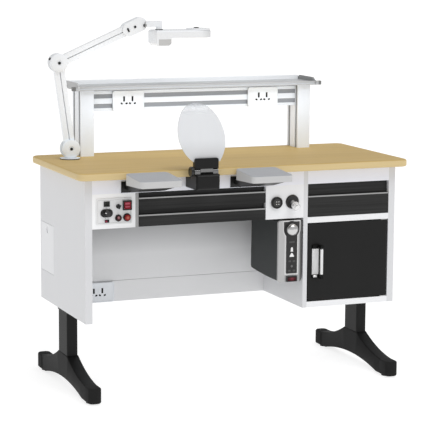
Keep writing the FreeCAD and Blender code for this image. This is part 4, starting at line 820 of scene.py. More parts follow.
    def copy(self, name: str, shift: Point = ORIGIN, turn: Optional[Matrix] = None) -> "Piece":
        """Copy the piece with its own mesh.

        Args:
            name: The copy's name.
            shift: How far the copy is moved.
            turn: A matrix applied before the move.

        Returns:
            The copy.
        """
        self.activate()
        bpy.ops.object.duplicate(linked=False)
        bpy.context.active_object.matrix_world = Matrix.Translation(shift) @ (turn or Matrix())
        return Piece._added(name)

    def transform(self, matrix: Matrix) -> "Piece":
        """Apply a matrix to the mesh."""
        self.activate()
        self.obj.matrix_world = matrix
        self.settle()
        return self

    def rotate(self, angle: float, axis: Way, middle: Point) -> "Piece":
        """Turn the mesh about an axis through a point.

        Args:
            angle: The angle in degrees.
            axis: The axis, by the right-hand rule.
            middle: A point on the axis.

        Returns:
            This piece.
        """
        spin = Matrix.Rotation(math.radians(angle), 4, axis.vector)
        return self.transform(Matrix.Translation(middle) @ spin @ Matrix.Translation(-Vector(middle)))

    def remove(self) -> None:
        """Take the piece out of the scene."""
        bpy.data.objects.remove(self.obj)

    def dress(self, finish: Finish, body: str, slot: str) -> "Piece":
        """Smooth the piece, give it a finish, and let it ride on a body.

        Args:
            finish: Its surface.
            body: The body that carries it.
            slot: A material slot of the record; not used.

        Returns:
            This piece.
        """
        self.activate()
        bpy.ops.object.shade_smooth_by_angle(angle=math.radians(SMOOTH))
        self.obj.data.materials.clear()
        self.obj.data.materials.append(finish.material())
        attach(self.obj, body)
        LOG.info("%s on %s in %s", self.obj.name, body, finish.name)
        return self

    def paint(self, finish: Finish, test: FaceTest) -> "Piece":
        """Give a second finish to the faces whose middle and normal pass a test."""
        mesh = self.obj.data
        mesh.materials.append(finish.material())
        for face in mesh.polygons:
            if test(face.center, face.normal):
                face.material_index = len(mesh.materials) - 1
        return self

    def replaces(self, *nodes: str) -> "Piece":
        """Stand for CAD nodes, which are then not shown."""
        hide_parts(*nodes)
        return self


def dress_nodes(finish: Finish, *nodes: str) -> None:
    """Give CAD nodes a finish without touching their meshes."""
    for name in nodes:
        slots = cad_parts[name].data.materials
        slots.clear()
        slots.append(finish.material())
        LOG.info("%s in %s", name, finish.name)


@dataclass
class Screws:
    """Domed socket screws of one size, modelled once and copied; the dome is in radii."""

    label: str
    radius: float
    finish: Finish
    slot: str = "black_plastic"
    dome: tuple[Span, ...] = ((1.0, 0.0), (1.0, 0.35), (0.8, 0.55), (0.5, 0.6))
    sides: int = 24
    socket: float = 0.42
    socket_floor: float = 0.25
    socket_sides: int = 6

    def __post_init__(self) -> None:
        """Model the master at the origin, looking up."""
        r = self.radius
        rings = [(r * wide, r * high) for wide, high in self.dome]
        bore = ((r * self.socket, 0.0), (r * self.socket, r))
        floor = (0.0, 0.0, r * self.socket_floor)
        self.master = Piece.turned(f"{self.label}_master", rings, ORIGIN, Way.UP, self.sides)
        self.master.cut(Piece.turned(f"{self.label}_socket", bore, floor, Way.UP, self.socket_sides))

    def place(self, name: str, at: Point, way: Way, body: str) -> None:
        """Set one screw.

        Args:
            name: The screw's name.
            at: The middle of its seat.
            way: The direction in which it looks.
            body: The body that carries it.
        """
        self.master.copy(name, at, way.turn).dress(self.finish, body, self.slot)

    def close(self) -> None:
        """Remove the master."""
        self.master.remove()


class Assembly:
    """A part of the bench that dresses its CAD nodes and adds pieces to them."""

    def dress(self) -> None:
        """Give the assembly's CAD nodes their finishes."""

    def build(self) -> None:
        """Model the assembly's own pieces."""


@dataclass
class Worktop(Assembly):
    """Beige tabletop over the white carcass boards."""

    screw_x: tuple[float, ...] = (-0.50, -0.25, 0.0, 0.25, 0.50)
    screw_margin: float = 0.020
    screw_radius: float = 0.0045

    def dress(self) -> None:
        """Give the top its laminate and the boards their lacquer."""
        dress_nodes(BEIGE_TOP, "tabletop")
        dress_nodes(WHITE_BOARD, "left_side", "back_panel", "cabinet_sides")
        # Painted light: the apron, knee and front boards take paler copies of the white board.
        dress_nodes(LIT_APRON_BOARD, "front_apron")
        dress_nodes(LIT_KNEE_BOARD, "knee_panels")
        dress_nodes(LIT_FRONT_BOARD, "carcass_floors", "service_panel")
        dress_nodes(HATCH_BOARD, "filter_hatch")
        dress_nodes(GREY_BOARD, "drawer_case_sides")

    def build(self) -> None:
        """Set the screws of the back panel."""
        panel = Box.of("back_panel")
        screws = Screws("back_screw", self.screw_radius, STEEL, "bright")
        for row, z in enumerate((panel.low.z + self.screw_margin, panel.high.z - self.screw_margin)):
            for column, x in enumerate(self.screw_x):
                screws.place(f"back_screw_{row}_{column}", (x, panel.high.y, z), Way.BACK, "bench")
        screws.close()


@dataclass
class Drawers(Assembly):
    """Black drawer fronts with silver strips, and the black door with its handle."""

    strips: tuple[tuple[str, Span], ...] = (
        ("upper_drawer", (0.6728, 0.6774)),
        ("lower_drawer", (0.6153, 0.6199)),
        ("cabinet_drawer", (0.6488, 0.6534)),
    )
    strip_y: Span = (-0.1775, -0.1738)
    tray_y: Span = (-0.1585, 0.30)
    stand: float = 0.024
    bar_half: float = 0.005
    bar_round: float = 0.0042
    # How far the bar's two ends lie above the inner sides of the black ends.
    bar_ends: Span = (0.003, 0.002)
    plate_wide: float = 0.024
    plate_trim: float = 0.011
    plate_thick: float = 0.003
    nub_x: Span = (0.002, 0.017)
    nub_y: Span = (-0.009, -0.004)
    nub_z: Span = (0.004, 0.012)
    end: float = 0.013
    bracket: float = 0.007

    def dress(self) -> None:
        """Give fronts, trays, runners and door their finishes."""
        tray = Inlay((Window(y=self.tray_y),), grey(0.30), roughness=0.45)
        for node, strip in self.strips:
            lip = Inlay((Window(y=self.strip_y, z=strip),), grey(0.36), roughness=0.34, metallic=0.8)
            front = Coat(f"{node}_black", grey(0.006), grey(0.041), (0.34, 0.50), 420.0,
                         stretch=(0.05, 1.0, 1.0), relief=0.10, cloud_stretch=(0.25, 6.0, 14.0),
                         gloss=0.2, inlays=(lip, tray))
            dress_nodes(front, node)
        dress_nodes(BLACK_DOOR, "cabinet_door")
        dress_nodes(STEEL, "drawer_runners", "door_pivots")

    def build(self) -> None:
        """Model the door's handle: a back plate with a nub, and a bar between two black ends."""
        handle = Box.of("door_handle")
        face = Box.of("cabinet_door").low.y
        bar_x = around(handle.high.x - self.bar_half, self.bar_half)
        bar_y = around(face - self.stand, self.bar_half)
        silver = (*self._plate(handle, face), self._grip(handle, bar_x, bar_y))
        for piece in silver:
            piece.dress(BRIGHT_SILVER, "door", "bright").replaces("door_handle")
        for piece in self._ends(handle, face, bar_x, bar_y[0]):
            piece.dress(DEEP_BLACK, "door", "black_plastic").replaces("door_handle")

    def _plate(self, handle: Box, face: float) -> tuple[Piece, Piece]:
        """Model the back plate and the nub at its foot.

        Args:
            handle: The CAD handle's box.
            face: The door's front.

        Returns:
            The plate and the nub.
        """
        left, low, high = handle.low.x, handle.low.z, handle.high.z
        plate = Piece.block("handle_plate", (left, left + self.plate_wide), (face - self.plate_thick, face),
                            (low + self.plate_trim, high - self.plate_trim))
        plate.round_edges(Way.BACK, width=0.004)
        plate.inset(Way.FORWARD, rim=0.0018, push=(0, 0.0005, 0))
        plate.bevel(width=0.0007)
        nub = Piece.block("handle_nub", moved(self.nub_x, left), moved(self.nub_y, face),
                          moved(self.nub_z, low))
        nub.extrude(Way.FORWARD, push=(0, -0.002, 0), taper=(0.8, 1, 0.7))
        nub.bevel(width=0.0014, segments=3)
        return plate, nub

    def _grip(self, handle: Box, x: Span, y: Span) -> Piece:
        """Model the bar between the handle's ends."""
        low, high = self.bar_ends
        grip = Piece.block("handle_grip", x, y,
                           (handle.low.z + self.end + low, handle.high.z - self.end + high))
        return grip.round_edges(Way.UP, self.bar_round, steps=6)

    def _ends(self, handle: Box, face: float, x: Span, front: float) -> tuple[Piece, Piece]:
        """Model the lower end with its bracket, and copy it to the upper end.

        Args:
            handle: The CAD handle's box.
            face: The door's front.
            x: The bar's reach along X.
            front: The bar's front.

        Returns:
            Both ends.
        """
        z = (handle.low.z, handle.low.z + self.end)
        cap = Piece.block("handle_end_low", x, (front, face), z)
        cap.inset(Way.FORWARD, rim=0.001, push=(0, 0.0006, 0))
        cap.bevel(width=0.0018, segments=3)
        middle = handle.high.x - self.bar_half
        bracket = Piece.block("handle_bracket", (handle.low.x, middle), (face - self.bracket, face), z)
        bracket.round_edges(Way.BACK, width=0.003)
        bracket.bevel(width=0.001)
        cap.join(bracket)
        return cap, cap.copy("handle_end_high", (0, 0, handle.high.z - handle.low.z - self.end))


@dataclass
class Armrests(Assembly):
    """Two grey pads with pale sides on slides in black frames."""

    rear: float = -0.224
    rear_top: float = 0.767
    fall: float = 10.0 / 151.0
    skin: float = 0.0016
    slide_z: Span = (0.70, 0.7288)

    def dress(self) -> None:
        """Give the pads their two tones and the frames their black."""
        level = self.rear_top - self.rear * self.fall - self.skin
        top = Inlay((Slope(level, self.fall),), (0.40, 0.41, 0.435), roughness=0.45)
        slide = Inlay((Window(z=self.slide_z),), grey(0.012), roughness=0.35)
        pad = Coat("armrest_skin", grey(0.58), grey(0.55), (0.36, 0.46), 1100.0, relief=0.1,
                   inlays=(top, slide))
        dress_nodes(pad, "left_armrest", "right_armrest")
        dress_nodes(BLACK_PLASTIC, "armrest_frames")


@dataclass
class Legs(Assembly):
    """Black columns, arched feet with round toes in shoes, and glides."""

    middle: float = 0.548
    inside: float = 0.003
    foot_half: float = 0.0212
    foot_round: float = 0.016
    crown: float = 0.12
    shoe_half: float = 0.0230
    shoe_round: float = 0.018
    shoe_soft: float = 0.006
    shoe_long: float = 0.062
    shoe_z: Span = (0.0042, 0.0572)

    def dress(self) -> None:
        """Give the columns powder coat and the glides rubber."""
        dress_nodes(BLACK_STEEL, "columns")
        dress_nodes(RUBBER, "foot_pads")

    def build(self) -> None:
        """Model one moulded shoe, round the toes of the feet and copy the shoe to the four toes."""
        feet = Box.of("feet")
        front, rear = feet.low.y, feet.high.y
        along = (front, front + self.shoe_long)
        shoe = Piece.block("toe_shoe", around(0.0, self.shoe_half), along, self.shoe_z)
        shoe.round_edges(Way.UP, self.shoe_round, steps=8, end=Way.FORWARD)
        shoe.bevel(self.shoe_soft, segments=5)
        mirror = Matrix.Rotation(math.pi, 4, "Z")
        for side, x in (("left", -self.middle), ("right", self.middle)):
            foot = Piece.of_node(f"{side}_foot", "feet")
            plan = Piece.block("toe_plan", around(x, self.foot_half),
                               (front + self.inside, rear - self.inside), (0.0, self.crown))
            plan.round_edges(Way.UP, self.foot_round, steps=8)
            foot.cut(plan, Keep.INSIDE)
            foot.dress(BLACK_CASTING, "bench", "black_casting").replaces("feet")
            toe = shoe.copy(f"{side}_front_shoe", (x, 0, 0))
            heel = shoe.copy(f"{side}_rear_shoe", (x, rear + front, 0), mirror)
            for each in (toe, heel):
                each.dress(RUBBER, "bench", "black_plastic")
        shoe.remove()


@dataclass
class Outlets(Assembly):
    """Outlet plates with two sockets each, on the rail and in the knee space."""

    places: tuple[tuple[str, Point], ...] = (
        ("left_outlet", (-0.267, 0.255, 0.959)),
        ("right_outlet", (0.247, 0.255, 0.959)),
        ("knee_outlet", (-0.413, 0.159, 0.301)),
    )
    half: Span = (0.058, 0.035)
    thick: float = 0.010
    corner: float = 0.006
    rim: float = 0.004
    sunk: float = 0.0012
    # The slots' faces lie inside this border of the plate and in this span of its depth.
    border: float = 0.009
    inside: Span = (-0.0080, -0.0005)
    pitch: float = 0.031
    middle: float = -0.001
    floor: float = -0.004
    earth: Span = (0.0066, 0.0180)
    earth_z: float = 0.0065
    pin: Span = (0.0078, 0.0058)
    pin_at: Span = (0.0090, -0.0095)
    pin_lean: float = 18.0

    def build(self) -> None:
        """Model one outlet plate with two sockets and copy it to its places."""
        wide, high = self.half
        plate = Piece.block("outlet_plate", around(0.0, wide), (-self.thick, 0.0), around(0.0, high))
        plate.round_edges(Way.BACK, self.corner)
        plate.inset(Way.FORWARD, self.rim, (0, self.sunk, 0))
        plate.bevel(width=0.0007)
        across, low = self.pin_at
        for name, side in (("first", -1), ("second", 1)):
            x = self.middle + side * self.pitch / 2
            self._slot(plate, f"{name}_earth", x, self.earth_z, self.earth)
            self._slot(plate, f"{name}_live", x - across, low, self.pin, self.pin_lean)
            self._slot(plate, f"{name}_neutral", x + across, low, self.pin, -self.pin_lean)
        for name, place in self.places:
            copy = plate.copy(name, place)
            copy.dress(WHITE_PLATE, "bench", "white_plastic").replaces("power_outlets")
            copy.paint(SHADOW, self._within(Vector(place)))
        plate.remove()

    def _within(self, place: Vector) -> FaceTest:
        """A test for the faces inside the slots of the plate at a place."""
        wide, high = (half - self.border for half in self.half)
        low, top = self.inside

        def test(centre: Vector, normal: Vector) -> bool:
            """Whether a face lies inside a slot."""
            x, y, z = centre - place
            return low < y < top and abs(x) <= wide and abs(z) <= high

        return test

    def _slot(self, plate: Piece, name: str, x: float, z: float, size: Span, lean: float = 0.0) -> None:
        """Cut one pin slot into the plate.

        Args:
            plate: The plate.
            name: The cutter's name.
            x: The slot's place across the plate.
            z: Its place up the plate.
            size: Its width and height.
            lean: Its lean in degrees.
        """
        wide, tall = size
        cutter = Piece.block(name, around(x, wide / 2), (-2 * self.thick, self.floor), around(z, tall / 2))
        cutter.rotate(lean, Way.BACK, (x, self.floor, z))
        plate.cut(cutter)


@dataclass
class OverShelf(Assembly):
    """White uprights, grooved rail and framed shelf with its stops."""

    groove_y: Span = (0.0003, 0.0040)
    groove_z: tuple[Span, ...] = ((0.9345, 0.9495), (0.9685, 0.9835))
    upright_wide: float = 0.047
    slot_x: Span = (0.0001, 0.0036)
    slot_y: tuple[Span, ...] = ((0.2405, 0.2565), (0.2985, 0.3145))
    skin: float = 0.0005
    lit_foot_z: Span = (0.98, 0.79)
    rim_y: Span = (-0.001, 0.0125)
    light_z: Span = (1.0046, 1.0090)
    ledge_y: Span = (0.344, 0.358)
    cap_x: tuple[Span, ...] = ((-0.4875, -0.4745), (0.4465, 0.4575))
    stops: Span = (-0.466, 0.436)
    stop_thick: float = 0.005
    screw_y: Span = (0.226, 0.331)
    screw_z: float = 1.008
    screw_radius: float = 0.0040

    def dress(self) -> None:
        """Give the extrusions their white and grey."""
        dress_nodes(self._rail(), "outlet_rail")
        dress_nodes(self._upright(), "uprights")
        dress_nodes(self._border(), "shelf_frame")
        dress_nodes(SHELF_PLATE, "shelf_plate")

    def _rail(self) -> Coat:
        """The white of the outlet rail, with painted shade in its grooves."""
        deep = moved(self.groove_y, Box.of("outlet_rail").low.y)
        # Painted shade in the grooves.
        groove_shade = Inlay(tuple(Window(y=deep, z=z) for z in self.groove_z), (0.32, 0.335, 0.36), roughness=0.5)
        return Coat("white_outlet_rail", (0.86, 0.895, 0.95), (0.84, 0.875, 0.93), (0.26, 0.34), 700.0,
                    inlays=(groove_shade,))

    def _upright(self) -> Coat:
        """The white of the uprights, painted paler at the foot and on the left sides as painted light, with
        painted shade in the slots.
        """
        box = Box.of("uprights")
        left_sides = (box.low.x, box.high.x - self.upright_wide)
        near, far = self.slot_x
        slot_x = []
        for left in left_sides:
            right = left + self.upright_wide
            slot_x += [(left + near, left + far), (right - far, right - near)]
        # Painted shade in the slots.
        slots = Inlay(tuple(Window(x=x, y=y) for x in slot_x for y in self.slot_y), grey(0.24), roughness=0.5)
        # Painted light: paler towards the foot and on the left sides.
        foot = Inlay((Fade(Axis.Z, self.lit_foot_z),), (0.90, 0.945, 1.0), roughness=0.3)
        lit_left_faces = tuple(Window(x=around(left, self.skin)) for left in left_sides)
        sides = Inlay(lit_left_faces, (0.94, 0.965, 1.0), roughness=0.3)
        return Coat("white_upright", (0.76, 0.785, 0.83), (0.74, 0.765, 0.81), (0.26, 0.34), 700.0,
                    inlays=(foot, sides, slots))

    def _border(self) -> Coat:
        """The grey of the shelf's border, with a painted highlight on its lit edge, its ledge, its stops
        painted paler on the left and darker on the right as painted light and shade, and its end caps.
        """
        front = moved(self.rim_y, Box.of("shelf_frame").low.y)
        left, right = self.stops
        reach = self.stop_thick + self.skin
        inlays = (
            # Painted highlight along the front edge.
            Inlay((Window(y=front, z=self.light_z),), (0.44, 0.45, 0.465), roughness=0.35),
            Inlay((Window(y=self.ledge_y),), (0.93, 0.94, 0.955), roughness=0.35),
            # Painted light and shade: the left stop is paler than the right stop.
            Inlay((Window(x=(left - self.skin, left + reach)),), grey(0.48)),
            Inlay((Window(x=(right - reach, right + self.skin)),), grey(0.25)),
            Inlay(tuple(Window(x=x, y=front) for x in self.cap_x), grey(0.17)),
        )
        return Coat("grey_shelf_border", grey(0.37), grey(0.34), (0.30, 0.40), 700.0,
                    stretch=(0.1, 3.0, 3.0), inlays=inlays)

    def build(self) -> None:
        """Set the screws at the outer ends of the stops."""
        screws = Screws("stop_screw", self.screw_radius, DARK_PLASTIC)
        ends = (("left", self.stops[0], Way.LEFT), ("right", self.stops[1], Way.RIGHT))
        for row, y in enumerate(self.screw_y):
            for side, x, way in ends:
                screws.place(f"{side}_stop_screw_{row}", (x, y, self.screw_z), way, "bench")
        screws.close()


@dataclass
class Lamp(Assembly):
    """Swing-arm lamp: hub caps, screws, wing knob and head fittings; a hub's place is its X and Z."""

    y: float = 0.183
    base: Span = (-0.503, 0.8063)
    elbow: Span = (-0.5445, 1.1014)
    wrist: Span = (-0.2712, 1.2202)
    tilt: Span = (-0.2510, 1.2290)
    cheek: float = 0.0166
    hub: float = 0.032
    # The rings of a cap, with their widths as shares of the hub's radius.
    cap: tuple[Span, ...] = (
        (0.94, -0.001), (0.94, 0.0012), (0.88, 0.0022), (0.30, 0.0026), (0.26, 0.0014), (0.1, 0.0014),
    )
    seat: float = 0.0014
    hub_screw: float = 0.0052
    pin_screw: float = 0.0045
    bolt: tuple[Span, ...] = ((0.0048, 0.0), (0.0048, 0.0050), (0.0038, 0.0062), (0.0020, 0.0062))
    bolt_in: float = 0.0025
    bolt_fore: float = 0.006
    bolt_turn: float = 25.0
    rise: float = 23.5
    latch_at: Span = (-0.0245, -0.0106)
    latch_half: Span = (0.0028, 0.0075)
    latch_thick: float = 0.0022
    knob_at: Point = (0.015, -0.010, -0.004)
    knob: tuple[Span, ...] = ((0.007, 0.0), (0.007, 0.004), (0.0055, 0.006), (0.0055, 0.010), (0.004, 0.011))
    wing_half: float = 0.0018
    wing_y: Span = (-0.014, -0.0105)
    wing_z: Span = (-0.008, 0.010)
    head_pin: float = -0.177
    head_end: float = -0.031
    head_top: float = 1.208
    washer: tuple[Span, ...] = (
        (0.0140, 0.0), (0.0140, 0.0014), (0.0130, 0.0022), (0.0116, 0.0022), (0.0116, 0.0),
    )
    washer_gap: float = 0.0002
    cover: tuple[Span, ...] = ((0.0425, 0.0), (0.0425, 0.0028), (0.0410, 0.0044), (0.0300, 0.0052))
    cover_sunk: float = 0.0004
    switch_x: Span = (-0.046, -0.030)
    switch_half: float = 0.008
    switch_z: Span = (0.0042, 0.0058)
    foot_shadow_z: Span = (0.7690, 0.7731)
    end_shade_x: Span = (-0.034, 0.012)
    grille: Window = Window(x=(-0.194, -0.1475), y=(0.1385, 0.1393), z=(1.156, 1.1775))

    def dress(self) -> None:
        """Give every part of the lamp its enamel and the diffuser its sheet."""
        arms = ("lower_bar_a", "lower_bar_b", "upper_bar_a", "upper_bar_b")
        dress_nodes(LAMP_WHITE, "lamp_swivel", "lamp_elbow", "lamp_wrist", "lamp_yoke", *arms)
        # Painted shadow: a dark band at the foot's base, where it stands on the top.
        rim = Inlay((Window(z=self.foot_shadow_z),), grey(0.07), roughness=0.5)
        dress_nodes(replace(LAMP_WHITE, name="lamp_foot_enamel", inlays=(LIGHT_NEAR_TABLETOP, rim)), "lamp_foot")
        grille = Inlay((self.grille,), grey(0.56), roughness=0.5)
        # Painted shade: the head darkens towards its round end.
        end = Inlay((Fade(Axis.X, self.end_shade_x),), (0.58, 0.59, 0.61), roughness=0.3)
        shell = Coat("lamp_head_enamel", (0.88, 0.895, 0.92), (0.86, 0.875, 0.90), (0.24, 0.32), 500.0,
                     inlays=(end, grille))
        dress_nodes(shell, "lamp_head")
        dress_nodes(DIFFUSER, "lamp_diffuser")

    def build(self) -> None:
        """Model hub caps with screws, the clamps, the wing knob and the head's fittings."""
        rings = [(self.hub * wide, high) for wide, high in self.cap]
        cap = Piece.turned("hub_cap", rings, ORIGIN, Way.UP, sides=64)
        large = Screws("hub_screw", self.hub_screw, DARK_PLASTIC)
        small = Screws("pin_screw", self.pin_screw, DARK_PLASTIC)
        for side, way in (("front", Way.FORWARD), ("rear", Way.BACK)):
            for label, hub, body in (("base", self.base, "lamp_swivel"), ("elbow", self.elbow, "elbow")):
                at = self._cheek(hub, way)
                cap.copy(f"{label}_cap_{side}", at, way.turn).dress(LAMP_WHITE, body, "white_aluminium")
                large.place(f"{label}_screw_{side}", at + way.vector * self.seat, way, body)
            small.place(f"wrist_screw_{side}", self._cheek(self.wrist, way), way, "wrist")
        small.place("tilt_screw_rear", self._cheek(self.tilt, Way.BACK), Way.BACK, "wrist")
        large.close()
        small.close()
        cap.remove()
        self._clamps()
        self._wing()
        self._head()

    def _cheek(self, hub: Span, way: Way) -> Vector:
        """The middle of a hub's cheek on one side."""
        return Vector((hub[0], self.y, hub[1])) + way.vector * self.cheek

    def _clamps(self) -> None:
        """Model the elbow's side bolt and the latch across the wrist."""
        x, z = self.elbow
        at = (x - self.hub + self.bolt_in, self.y - self.bolt_fore, z)
        bolt = Piece.turned("elbow_bolt", self.bolt, at, Way.LEFT, sides=24)
        bolt.rotate(self.bolt_turn, Way.BACK, (x, self.y, z))
        bolt.dress(DARK_PLASTIC, "elbow", "black_plastic")
        x, z = (hub + shift for hub, shift in zip(self.wrist, self.latch_at))
        front = self.y - self.cheek
        wide, tall = self.latch_half
        deep = (front - self.latch_thick, front)
        latch = Piece.block("wrist_latch", around(x, wide), deep, around(z, tall))
        latch.round_edges(Way.BACK, width=0.0024)
        latch.bevel(width=0.0006)
        latch.rotate(-self.rise, Way.BACK, (x, front, z))
        latch.dress(DARK_PLASTIC, "wrist", "black_plastic")

    def _wing(self) -> None:
        """Model the dark wing knob that clamps the head's tilt."""
        x, y, z = Vector((self.tilt[0], self.y, self.tilt[1])) + Vector(self.knob_at)
        stem = Piece.turned("tilt_knob", self.knob, (x, y, z), Way.FORWARD, sides=32)
        stem.dress(DARK_PLASTIC, "yoke", "black_plastic")
        wing = Piece.block("tilt_wing", around(x, self.wing_half), moved(self.wing_y, y),
                           moved(self.wing_z, z))
        wing.extrude(Way.UP, push=(0, -0.001, 0.004), taper=(0.6, 0.8, 1))
        wing.bevel(width=0.001, segments=3)
        wing.dress(GREY_BOARD, "yoke", "black_plastic")

    def _head(self) -> None:
        """Model the washer under the boss, and the round cover with its switch on the head's end."""
        top = self.head_top
        seat = (self.head_pin, self.y, top + self.washer_gap)
        washer = Piece.turned("head_washer", self.washer, seat, Way.UP)
        washer.dress(DARK_PLASTIC, "head", "black_plastic")
        seat = (self.head_end, self.y, top - self.cover_sunk)
        cover = Piece.turned("head_cover", self.cover, seat, Way.UP, sides=72)
        cover.dress(LAMP_WHITE, "head", "white_aluminium")
        switch = Piece.block("head_switch", self.switch_x, around(self.y, self.switch_half),
                             moved(self.switch_z, top))
        switch.inset(Way.UP, rim=0.0016, push=(0, 0, 0.0020))
        switch.bevel(width=0.0005)
        switch.dress(DARK_PLASTIC, "head", "black_plastic")


@dataclass
class ShieldHolder(Assembly):
    """Black suction nozzle, its clamp, the fluted knob and the milky pane."""

    barrel: Window = Window(y=(-0.2615, -0.2425), z=(0.7572, 0.7750))
    knob_at: Point = (-0.2158, -0.252, 0.766)
    knob_radius: float = 0.017
    knob_length: float = 0.014
    knob_stem: float = 0.0084
    knob_edge: Span = (0.0016, 0.0018)
    dish: Span = (0.62, 0.55)
    dish_deep: float = 0.0008
    flutes: int = 12
    flute_out: float = 0.0006
    flute_start: float = 0.002
    flute: tuple[Span, ...] = ((0.0022, 0.0), (0.0022, 0.02))
    mouth_x: float = -0.174
    mouth_y: Span = (-0.266, -0.198)
    bars: int = 5
    bar_pitch: float = 0.0115
    bar_half: float = 0.0012
    bar_z: Span = (0.7085, 0.7125)

    def dress(self) -> None:
        """Give the holder its black, the barrel a satin metal band as a painted highlight, and the pane its
        milky sheet.
        """
        # Painted highlight: a satin metal band across the hinge barrel.
        barrel = Inlay((self.barrel,), grey(0.20), roughness=0.24, metallic=0.85)
        holder = black("black_holder", 0.006, (0.30, 0.40), 800.0, gloss=0.22, inlays=(barrel,))
        dress_nodes(holder, "suction_nozzle", "shield_clamp")
        dress_nodes(PANE, "shield")
        dress_nodes(DARK_PLASTIC, "suction_unit")

    def build(self) -> None:
        """Model the fluted knob and the grille in the nozzle's mouth."""
        self._knob()
        bar = Piece.block("mouth_bar", around(0.0, self.bar_half), self.mouth_y, self.bar_z)
        bar.bevel(width=0.0009)
        for index in range(self.bars):
            x = self.mouth_x + (index - (self.bars - 1) / 2) * self.bar_pitch
            bar.copy(f"mouth_bar_{index + 1}", (x, 0, 0)).dress(DARK_PLASTIC, "bench", "black_plastic")
        bar.remove()

    def _knob(self) -> None:
        """Turn the knob with its dished end, and cut its flutes."""
        r, long = self.knob_radius, self.knob_length
        in_by, down_by = self.knob_edge
        wide, narrow = self.dish
        rings = ((self.knob_stem, 0.0), (r, long / 3), (r, long - down_by), (r - in_by, long),
                 (r * wide, long), (r * narrow, long - self.dish_deep))
        knob = Piece.turned("shield_knob_grip", rings, self.knob_at, Way.LEFT, sides=72)
        x, y, z = self.knob_at
        reach = r + self.flute_out
        for index in range(self.flutes):
            angle = 2 * math.pi * index / self.flutes
            at = (x + self.flute_start, y + reach * math.cos(angle), z + reach * math.sin(angle))
            knob.cut(Piece.turned("flute", self.flute, at, Way.LEFT, sides=12))
        knob.dress(GLOSS_BLACK, "shield_knob", "black_plastic").replaces("shield_knob")


